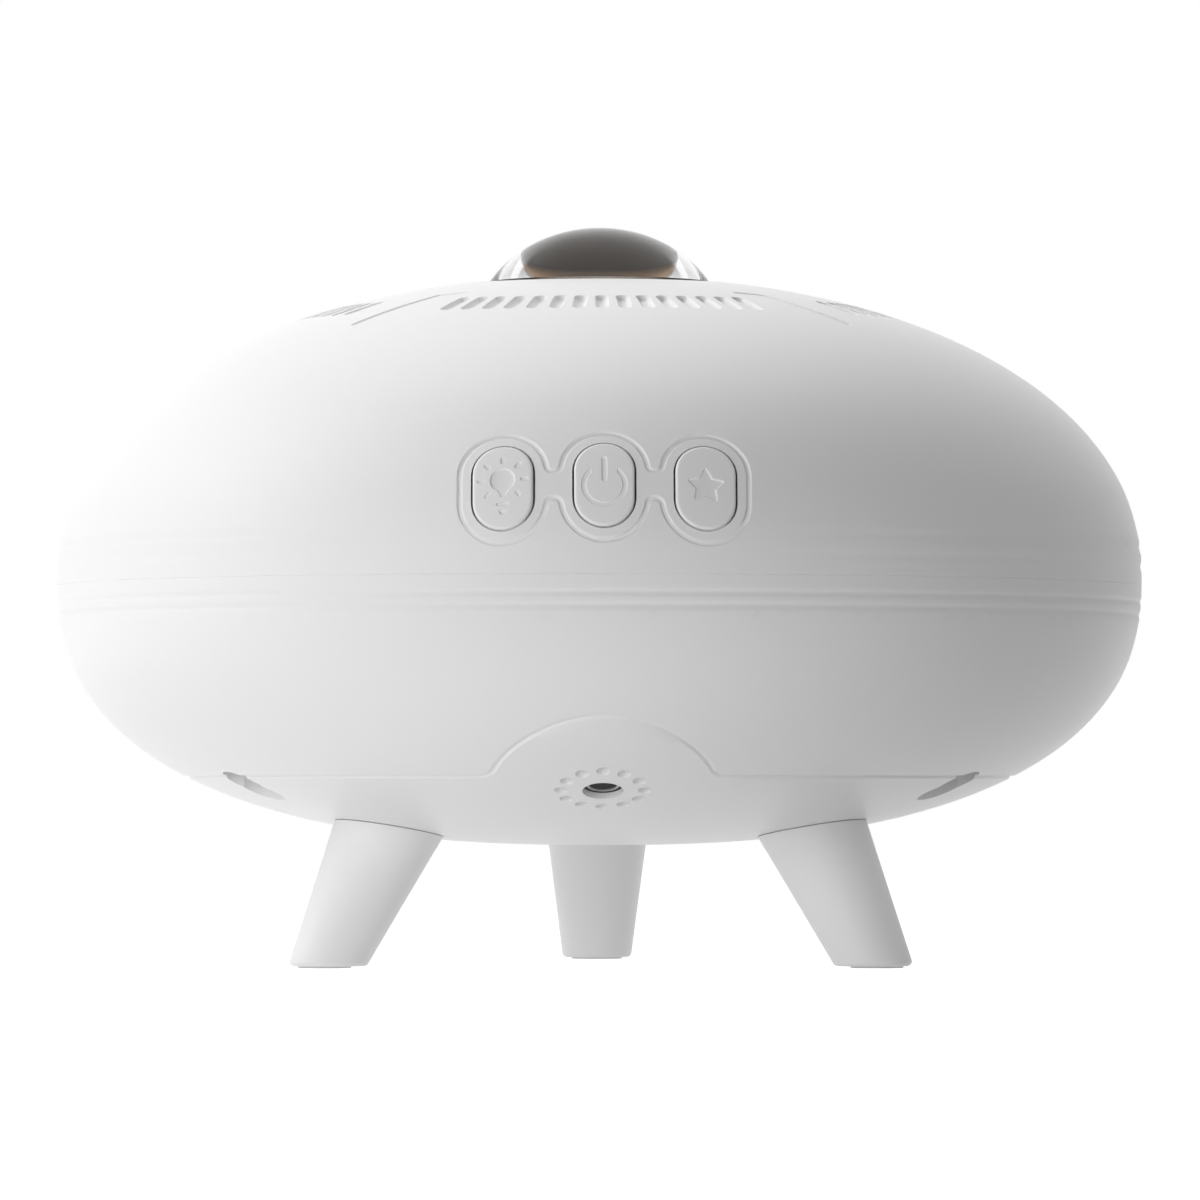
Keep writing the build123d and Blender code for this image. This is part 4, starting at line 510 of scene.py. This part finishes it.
def smooth_copy(node, name, material):
    """A copy of a CAD piece with its loose triangles joined and its curved faces shaded smooth."""
    source = node_object(node)
    piece = bpy.data.objects.new(name, source.data.copy())
    bpy.context.scene.collection.objects.link(piece)
    select_only(piece)
    if piece.data.has_custom_normals:
        bpy.ops.mesh.customdata_custom_splitnormals_clear()
    bpy.ops.object.mode_set(mode="EDIT")
    bpy.ops.mesh.select_all(action="SELECT")
    bpy.ops.mesh.remove_doubles(threshold=MERGE_DISTANCE)
    bpy.ops.object.mode_set(mode="OBJECT")
    bpy.ops.object.shade_smooth_by_angle(angle=SMOOTH_ANGLE)
    return settle(piece, name, node, material)


def refine(piece, chosen, cuts):
    """Divide the chosen faces of a piece."""
    select_only(piece)
    bpy.ops.object.mode_set(mode="EDIT")
    bpy.ops.mesh.select_mode(type="FACE")
    bpy.ops.mesh.select_all(action="DESELECT")
    bpy.ops.object.mode_set(mode="OBJECT")
    for index in chosen:
        piece.data.polygons[index].select = True
    bpy.ops.object.mode_set(mode="EDIT")
    bpy.ops.mesh.subdivide(number_cuts=cuts)
    bpy.ops.mesh.select_mode(type="VERT")
    bpy.ops.object.mode_set(mode="OBJECT")


def borrow_normals(piece, skin, shares):
    """Give the vertices of a piece the shading of a skin at the same place, each by its share, and remove the
    skin."""
    group = piece.vertex_groups.new(name="even_shading")
    for index, share in shares.items():
        group.add([index], share, "REPLACE")
    select_only(piece)
    bpy.ops.object.modifier_add(type="DATA_TRANSFER")
    transfer = piece.modifiers[-1]
    transfer.object = skin
    transfer.use_loop_data = True
    transfer.data_types_loops = {"CUSTOM_NORMAL"}
    transfer.loop_mapping = "POLYINTERP_NEAREST"
    transfer.vertex_group = group.name
    bpy.ops.object.modifier_apply(modifier=transfer.name)
    piece.vertex_groups.clear()
    bpy.data.meshes.remove(skin.data)


def turned_piece(outline, steps):
    """Turn an outline of (radius, height) points about Z: a ring of points is pushed and scaled from each to
    the next, and a point on the axis closes to a pole."""
    rings = [point for point in outline if point[0] > 0]
    first_radius, first_height = rings[0]
    bpy.ops.object.select_all(action="DESELECT")
    bpy.ops.mesh.primitive_circle_add(vertices=steps, radius=first_radius, location=(0, 0, first_height))
    piece = bpy.context.object
    bpy.ops.object.transform_apply(location=True, rotation=True, scale=True)
    bpy.ops.object.mode_set(mode="EDIT")
    bpy.ops.mesh.select_all(action="SELECT")
    if outline[0][0] == 0:
        cap_pole(outline[0][1] - first_height)
    for (radius, height), (next_radius, next_height) in zip(rings, rings[1:]):
        bpy.ops.mesh.extrude_region_move(TRANSFORM_OT_translate={"value": (0, 0, next_height - height)})
        share = next_radius / radius
        bpy.ops.transform.resize(value=(share, share, 1), center_override=(0, 0, next_height))
    if outline[-1][0] == 0:
        drop = outline[-1][1] - rings[-1][1]
        bpy.ops.mesh.extrude_region_move(TRANSFORM_OT_translate={"value": (0, 0, drop)})
        bpy.ops.mesh.merge(type="CENTER")
    bpy.ops.mesh.select_all(action="SELECT")
    bpy.ops.mesh.normals_make_consistent(inside=False)
    bpy.ops.object.mode_set(mode="OBJECT")
    return piece


def cap_pole(drop):
    """Close the selected ring to a pole on the axis, and select the ring again."""
    bpy.ops.mesh.extrude_region_move(TRANSFORM_OT_translate={"value": (0, 0, drop)})
    bpy.ops.mesh.merge(type="CENTER")
    bpy.ops.mesh.select_all(action="INVERT")


def arc(centre, radii, turn_from, turn_to, steps):
    """Points of an elliptical arc, as (radius, height), from one turn to another."""
    points = []
    for i in range(steps + 1):
        turn = turn_from + (turn_to - turn_from) * i / steps
        points.append((centre[0] + radii[0] * math.cos(turn), centre[1] + radii[1] * math.sin(turn)))
    return points


class PieceOperator:
    """What every piece's operator shares."""

    bl_options = {"REGISTER", "UNDO"}


class NIGHTLIGHT_OT_case(PieceOperator, bpy.types.Operator):
    """Both halves of the white case, with their curved faces shaded smooth"""

    bl_idname = "night_light.case"
    bl_label = "Case Halves"

    # Lengths in this operator are in millimetres. Each half's outline is a superellipse: its rise and power.
    radius = 100.0
    equator = 71.55
    upper = (55.3, 2.13)
    lower = (49.5, 2.45)
    # The heights of the rings, and the width and depth of their grooves.
    upper_rings = (73.35, 76.95)
    lower_rings = (66.55, 64.35)
    upper_groove = (2.4, 0.11)
    lower_groove = (1.7, 0.22)
    # The heights between which the halves borrow their shading, how far from both ends it stops, and how deep
    # under the outline a point still counts as outside.
    upper_band = (71.6, 79.0)
    lower_band = (62.4, 69.5)
    band_margin = 0.5
    skin_reach = 1.0
    # Degrees from the front: where the rings fade in, and how far the front keeps its own faces. The lower
    # rings are full all round.
    upper_fade = (18.0, 34.0)
    lower_fade = (-1.0, 0.0)
    front_clear = 17.0
    skin_row = 0.2
    skin_steps = 360
    cuts = 2

    def execute(self, context):
        white = satin_moulded_abs("satin_moulded_abs_case", colours().case)
        top = smooth_copy("upper_case", "case_upper_half", white)
        bottom = smooth_copy("lower_case", "case_lower_half", white)
        refine(top, self.band_faces(top, self.upper, self.upper_band, self.front_clear), self.cuts)
        refine(bottom, self.band_faces(bottom, self.lower, self.lower_band, 0.0), self.cuts)
        plain = self.skin(self.upper, self.upper_band, (), self.upper_groove)
        plain_fade = (0.0, self.front_clear)
        borrow_normals(top, plain, self.band_shares(top, self.upper, self.upper_band, plain_fade))
        ringed = self.skin(self.upper, self.upper_band, self.upper_rings, self.upper_groove)
        borrow_normals(top, ringed, self.band_shares(top, self.upper, self.upper_band, self.upper_fade))
        ringed = self.skin(self.lower, self.lower_band, self.lower_rings, self.lower_groove)
        borrow_normals(bottom, ringed, self.band_shares(bottom, self.lower, self.lower_band, self.lower_fade))
        return {"FINISHED"}

    def skin_radius(self, shape, height):
        rise, power = shape
        return self.radius * (1 - (abs(height - self.equator) / rise) ** power) ** (1 / power)

    def skin(self, shape, band, rings, groove):
        """A finely turned skin of a half with its rings, because the CAD mesh is too coarse around them."""
        width, depth = groove
        low, high = band
        outline = []
        for i in range(round((high - low) / self.skin_row) + 1):
            z = low + i * self.skin_row
            r = self.skin_radius(shape, z)
            for ring in rings:
                if abs(z - ring) < width / 2:
                    r -= depth * (1 + math.cos(2 * math.pi * (z - ring) / width)) / 2
            outline.append((r * MM, z * MM))
        turned = turned_piece(outline, self.skin_steps)
        bpy.ops.object.shade_smooth()
        return turned

    def turn_in_band(self, place, shape, band):
        """Degrees from the front of a place on the outside of a half, or -1 where it is not in the band."""
        x, y, z = place / MM
        low, high = band
        if not low + self.band_margin < z < high - self.band_margin:
            return -1.0
        if math.hypot(x, y) < self.skin_radius(shape, z) - self.skin_reach:
            return -1.0
        return abs(math.degrees(math.atan2(x, -y)))

    def band_faces(self, piece, shape, band, front_clear):
        """The faces of a half's band, but for those near the front."""
        faces = piece.data.polygons
        return [face.index for face in faces if self.turn_in_band(face.center, shape, band) > front_clear]

    def band_shares(self, piece, shape, band, fade):
        """For each vertex of a half's band, 0 to 1 over a fade in degrees from the front."""
        start, end = fade
        shares = {}
        for vertex in piece.data.vertices:
            turn = self.turn_in_band(vertex.co, shape, band)
            if turn > max(start, 0.0):
                shares[vertex.index] = min((turn - start) / (end - start), 1.0)
        return shares


class NIGHTLIGHT_OT_legs(PieceOperator, bpy.types.Operator):
    """Three tapered legs"""

    bl_idname = "night_light.legs"
    bl_label = "Legs"

    def execute(self, context):
        white = satin_moulded_abs("satin_moulded_abs_legs", colours().legs)
        for side in ("front_left", "front_right", "rear"):
            smooth_copy("leg_" + side, "tapered_leg_" + side, white)
        return {"FINISHED"}


class NIGHTLIGHT_OT_lens(PieceOperator, bpy.types.Operator):
    """Clear dome lens with its thin flange and curved back"""

    bl_idname = "night_light.lens"
    bl_label = "Dome Lens"

    dome_centre = 116.0 * MM
    dome_radii = (23.5 * MM, 20.1 * MM)
    rim_radius = 20.4 * MM
    back_radius = 17.4 * MM
    back_aperture = 16.4 * MM
    flange_thickness = 1.15 * MM
    neck_rise = 0.55 * MM
    arc_steps = 40
    smooth_angle = math.radians(30)

    def execute(self, context):
        low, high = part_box("projection_lens")
        flange_radius = high.x
        flange_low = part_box("lens_gasket")[1].z
        flange_top = flange_low + self.flange_thickness
        rim_turn = math.acos(self.rim_radius / self.dome_radii[0])
        dome = arc((0, self.dome_centre), self.dome_radii, math.pi / 2, rim_turn, self.arc_steps)
        dome[0] = (0, high.z)
        half = math.asin(self.back_aperture / self.back_radius)
        back_centre = flange_low + self.back_radius * math.cos(half)
        back_radii = (self.back_radius, self.back_radius)
        sweep = arc((0, back_centre), back_radii, half - math.pi / 2, -math.pi / 2, self.arc_steps)
        back = sweep[:-1] + [(0, low.z)]
        neck = [(self.rim_radius, flange_top + self.neck_rise), (flange_radius, flange_top)]
        outline = dome + neck + [(flange_radius, flange_low)] + back
        piece = turned_piece(outline, sizes().lens_steps)
        select_only(piece)
        bpy.ops.object.shade_smooth_by_angle(angle=self.smooth_angle)
        acrylic = clear_acrylic("polished_clear_acrylic", roughness=0.0)
        settle(piece, "dome_lens", "projection_lens", acrylic)
        return {"FINISHED"}


class NIGHTLIGHT_OT_lens_seat(PieceOperator, bpy.types.Operator):
    """Foam gasket, barrel and wavy plate below the lens"""

    bl_idname = "night_light.lens_seat"
    bl_label = "Gasket and Barrel"

    foil_depth = 2.7 * MM

    def execute(self, context):
        dress(["lens_gasket"], closed_cell_foam())
        dress(["optics_barrel"], foiled_barrel_abs(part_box("optics_barrel")[1].z - self.foil_depth))
        dress(["ripple_plate"], moulded_acrylic("moulded_clear_acrylic_plate"))
        return {"FINISHED"}


class NIGHTLIGHT_OT_buttons(PieceOperator, bpy.types.Operator):
    """Button caps with their engraved symbols"""

    bl_idname = "night_light.buttons"
    bl_label = "Buttons"

    def execute(self, context):
        white = satin_moulded_abs("satin_moulded_abs_buttons", colours().buttons)
        for name in ("light", "power", "star"):
            smooth_copy("button_" + name, name + "_button_cap", white)
        return {"FINISHED"}


class NIGHTLIGHT_OT_feet(PieceOperator, bpy.types.Operator):
    """Soft pads under the legs"""

    bl_idname = "night_light.feet"
    bl_label = "Foot Pads"

    def execute(self, context):
        smooth_copy("foot_pads", "foot_pads_silicone", frosted_silicone())
        return {"FINISHED"}


class NIGHTLIGHT_OT_microphone(PieceOperator, bpy.types.Operator):
    """Microphone capsule in its rubber boot, behind the hole in the lower case"""

    bl_idname = "night_light.microphone"
    bl_label = "Microphone"

    can_wall = 0.5 * MM
    half_height = 1.35 * MM
    lean = math.radians(22.43)

    def execute(self, context):
        low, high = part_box("microphone")
        down = Vector((0, -math.sin(self.lean), -math.cos(self.lean)))
        mouth = (low + high) / 2 + down * self.half_height
        dress(["microphone"], felted_can(mouth, (high.x - low.x) / 2 - self.can_wall))
        dress(["microphone_boot"], black_silicone())
        return {"FINISHED"}


class NIGHTLIGHT_OT_power_inlet(PieceOperator, bpy.types.Operator):
    """Barrel jack with its centre pin and nut"""

    bl_idname = "night_light.power_inlet"
    bl_label = "Power Inlet"

    def execute(self, context):
        dress(["dc_jack"], moulded_polymer("moulded_black_pbt", "#1E1E20", 0.4))
        dress(["jack_pin"], bright_nickel())
        return {"FINISHED"}


class NIGHTLIGHT_OT_fasteners(PieceOperator, bpy.types.Operator):
    """Every screw, and the nut, axle, clip and shaft of the same plated steel"""

    bl_idname = "night_light.fasteners"
    bl_label = "Screws and Plated Pieces"

    def execute(self, context):
        plated = [row["node"] for row in FRAME["record"]["subparts"] if row["material_slot"] == "steel"]
        dress(plated, zinc_plated_steel())
        return {"FINISHED"}


class NIGHTLIGHT_OT_switches(PieceOperator, bpy.types.Operator):
    """Plungers and tact switches behind the button caps"""

    bl_idname = "night_light.switches"
    bl_label = "Switches"

    def execute(self, context):
        acetal = moulded_polymer("black_acetal", "#202122", 0.36)
        dress(["plunger_light", "plunger_power", "plunger_star"], acetal)
        dress(["tact_switches"], stamped_steel())
        return {"FINISHED"}


class NIGHTLIGHT_OT_brackets(PieceOperator, bpy.types.Operator):
    """Chassis plate and motor clamp"""

    bl_idname = "night_light.brackets"
    bl_label = "Chassis and Clamp"

    def execute(self, context):
        dress(["chassis_plate", "motor_clamp"], grey_moulded_abs("grey_moulded_abs"))
        return {"FINISHED"}


class NIGHTLIGHT_OT_light_engine(PieceOperator, bpy.types.Operator):
    """Heat sink, LED board, collimator and the star laser with its grating"""

    bl_idname = "night_light.light_engine"
    bl_label = "Light Engine"

    def execute(self, context):
        dress(["heat_sink"], extruded_aluminium())
        dress(["led_board"], solder_mask_on_aluminium())
        dress(["led_emitters"], phosphor_gel())
        dress(["collimator"], moulded_acrylic("moulded_clear_acrylic_collimator"))
        dress(["laser_module"], worked_brass("turned_brass", (1.0, 1.0, 8.0)))
        dress(["laser_collar"], matt_brown_abs("matt_brown_abs_collar"))
        dress(["star_grating"], embossed_film())
        return {"FINISHED"}


class NIGHTLIGHT_OT_wheel_drive(PieceOperator, bpy.types.Operator):
    """Patterned wheel, its washer and pinion, and the geared motor"""

    bl_idname = "night_light.wheel_drive"
    bl_label = "Wheel Drive"

    def execute(self, context):
        dress(["effect_wheel"], moulded_acrylic("moulded_clear_acrylic_wheel"))
        dress(["wheel_washer"], moulded_polymer("white_nylon", "#E6E4DC", 0.45))
        dress(["drive_pinion"], moulded_polymer("natural_acetal", "#ECEAE3", 0.34))
        dress(["gearbox"], worked_brass("punched_brass_sheet", (1.0, 0.2, 1.0)))
        dress(["motor"], rolled_steel_can())
        return {"FINISHED"}


class NIGHTLIGHT_OT_boards(PieceOperator, bpy.types.Operator):
    """Both circuit boards with their chips, capacitors and plugs"""

    bl_idname = "night_light.boards"
    bl_label = "Circuit Boards"

    def execute(self, context):
        dress(["main_board", "button_board"], solder_mask_on_laminate())
        dress(["chips"], moulded_epoxy())
        dress(["capacitors"], sleeved_can(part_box("capacitors")[1].z))
        dress(["board_plugs"], moulded_polymer("natural_nylon", "#E4DCC4", 0.48))
        return {"FINISHED"}


class NIGHTLIGHT_OT_leads(PieceOperator, bpy.types.Operator):
    """Leads from the boards to the lights, motor, microphone and inlet"""

    bl_idname = "night_light.leads"
    bl_label = "Leads"

    def execute(self, context):
        dress(["button_lead"], pvc_lead("white_pvc", "#DADAD6"))
        dress(["microphone_lead", "laser_lead", "power_lead"], pvc_lead("black_pvc", "#1B1B1C"))
        dress(["light_lead", "motor_lead"], pvc_lead("red_pvc", "#A8201C"))
        return {"FINISHED"}


class NIGHTLIGHT_OT_stage(PieceOperator, bpy.types.Operator):
    """Pale floor, soft lights, world and camera"""

    bl_idname = "night_light.stage"
    bl_label = "Studio Stage"

    look_offset = 0.1 * MM
    look_height = 67.3 * MM
    lens_mm = 259.9
    sensor_mm = 36.0
    clip_range = (0.05, 20.0)
    # The floor's painted glow on the object falls from the first strength to the second over a span of X,
    # in place of light at the left and of shade towards +X. The camera itself sees an even white.
    floor_size = 6.0
    floor_shade = 0.32
    painted_floor_glow = (0.5, 0.03)
    glow_span = (-0.1, 0.22)
    floor_shown = 0.98
    sky_glow = 0.06
    sky_shown = 1.0
    lamp_distance = 1.2
    lamp_size = 0.8
    soft_boxes = (
        ("front_left", -30, 3, 7.3),
        ("left_top", -100, 38, 8.0),
        ("back_top", 180, 65, 7.2),
        ("right_back", 110, 20, 2.5),
    )

    def execute(self, context):
        self.floor()
        self.world()
        self.lamps()
        self.camera()
        bpy.context.scene.view_settings.view_transform = "Standard"
        return {"FINISHED"}

    def shown_white(self, tree):
        """1 for rays whose background shows: camera, glossy and transmission rays."""
        path = add(tree, "ShaderNodeLightPath")
        shown = path.outputs["Is Camera Ray"]
        for kind in ("Is Transmission Ray", "Is Glossy Ray"):
            either = add(tree, "ShaderNodeMath", {0: shown, 1: path.outputs[kind]}, operation="MAXIMUM")
            shown = either.outputs[0]
        return shown

    def floor(self):
        """Backdrop paper with a painted glow on the object: light at the left, fading to shade towards +X."""
        bpy.ops.object.select_all(action="DESELECT")
        bpy.ops.mesh.primitive_plane_add(size=self.floor_size, location=(0, 0, 0))
        plane = bpy.context.object
        plane.name = "studio_floor"
        material, tree, output = new_material("backdrop_paper_with_painted_glow")
        grey = rgba([self.floor_shade] * 3)
        paper = add(
            tree, "ShaderNodeBsdfPrincipled",
            {"Base Color": grey, "Roughness": 0.9, "Emission Color": WHITE},
        )
        place = add(tree, "ShaderNodeSeparateXYZ", {0: add(tree, "ShaderNodeTexCoord").outputs["Object"]})
        # Painted light: the floor's emission lights the object strongly at the left and weakly towards +X, as
        # painted shade.
        lit, shaded = self.painted_floor_glow
        left, right = self.glow_span
        glow = add(
            tree, "ShaderNodeMapRange",
            {
                "Value": place.outputs["X"], "From Min": left, "From Max": right,
                "To Min": lit, "To Max": shaded,
            },
        ).outputs["Result"]
        shown = self.shown_white(tree)
        lift = add(tree, "ShaderNodeMapRange", {"Value": shown, "To Min": glow, "To Max": self.floor_shown})
        tree.links.new(lift.outputs["Result"], paper.inputs["Emission Strength"])
        tree.links.new(paper.outputs["BSDF"], output.inputs["Surface"])
        plane.data.materials.append(material)

    def world(self):
        world = bpy.data.worlds.new("studio_world")
        world.use_nodes = True
        tree = world.node_tree
        tree.nodes.clear()
        shown = self.shown_white(tree)
        strength = add(
            tree, "ShaderNodeMapRange", {"Value": shown, "To Min": self.sky_glow, "To Max": self.sky_shown},
        ).outputs["Result"]
        sky = add(tree, "ShaderNodeBackground", {"Color": WHITE, "Strength": strength})
        output = add(tree, "ShaderNodeOutputWorld")
        tree.links.new(sky.outputs["Background"], output.inputs["Surface"])
        bpy.context.scene.world = world

    def lamps(self):
        """Soft boxes around the object: each has an azimuth (0 in front, 90 at +X) and a rise in degrees, and
        a power in watts."""
        target = Vector((0, 0, self.look_height))
        for name, azimuth, rise, power in self.soft_boxes:
            turn, lift = math.radians(azimuth), math.radians(rise)
            away = Vector((math.sin(turn) * math.cos(lift), -math.cos(turn) * math.cos(lift), math.sin(lift)))
            bpy.ops.object.select_all(action="DESELECT")
            bpy.ops.object.light_add(type="AREA", location=target + away * self.lamp_distance)
            lamp = bpy.context.object
            lamp.name = name
            lamp.data.size = self.lamp_size
            lamp.data.energy = power
            lamp.visible_glossy = False
            lamp.visible_transmission = False
            lamp.rotation_euler = (target - lamp.location).to_track_quat("-Z", "Y").to_euler()

    def camera(self):
        turn = sizes().camera_turn
        distance = sizes().camera_distance
        bpy.ops.object.select_all(action="DESELECT")
        bpy.ops.object.camera_add()
        camera = bpy.context.object
        camera.name = "studio_camera"
        camera.location = (-distance * math.sin(turn), -distance * math.cos(turn), sizes().camera_height)
        aim = Vector((self.look_offset, 0, self.look_height))
        camera.rotation_euler = (aim - camera.location).to_track_quat("-Z", "Y").to_euler()
        camera.data.lens = self.lens_mm
        camera.data.sensor_width = self.sensor_mm
        camera.data.clip_start, camera.data.clip_end = self.clip_range
        bpy.context.scene.camera = camera


class NIGHTLIGHT_PT_panel(bpy.types.Panel):
    """Lists the pieces in the sidebar"""

    bl_idname = "NIGHTLIGHT_PT_panel"
    bl_label = "Night Light"
    bl_space_type = "VIEW_3D"
    bl_region_type = "UI"
    bl_category = "Night Light"

    def draw(self, context):
        for operator in OPERATORS:
            self.layout.operator(operator.bl_idname)


OPERATORS = (
    NIGHTLIGHT_OT_stage,
    NIGHTLIGHT_OT_case,
    NIGHTLIGHT_OT_legs,
    NIGHTLIGHT_OT_feet,
    NIGHTLIGHT_OT_lens,
    NIGHTLIGHT_OT_lens_seat,
    NIGHTLIGHT_OT_buttons,
    NIGHTLIGHT_OT_switches,
    NIGHTLIGHT_OT_microphone,
    NIGHTLIGHT_OT_power_inlet,
    NIGHTLIGHT_OT_fasteners,
    NIGHTLIGHT_OT_brackets,
    NIGHTLIGHT_OT_light_engine,
    NIGHTLIGHT_OT_wheel_drive,
    NIGHTLIGHT_OT_boards,
    NIGHTLIGHT_OT_leads,
)
GROUPS = (NightLightColours, NightLightSizes)


def register():
    for kind in (*GROUPS, *OPERATORS, NIGHTLIGHT_PT_panel):
        bpy.utils.register_class(kind)
    bpy.types.Scene.night_light_colours = bpy.props.PointerProperty(type=NightLightColours)
    bpy.types.Scene.night_light_sizes = bpy.props.PointerProperty(type=NightLightSizes)


def unregister():
    del bpy.types.Scene.night_light_colours
    del bpy.types.Scene.night_light_sizes
    for kind in reversed((*GROUPS, *OPERATORS, NIGHTLIGHT_PT_panel)):
        bpy.utils.unregister_class(kind)


def main():
    register()
    for operator in OPERATORS:
        group, name = operator.bl_idname.split(".")
        getattr(getattr(bpy.ops, group), name)()


if __name__ == "__main__":
    main()
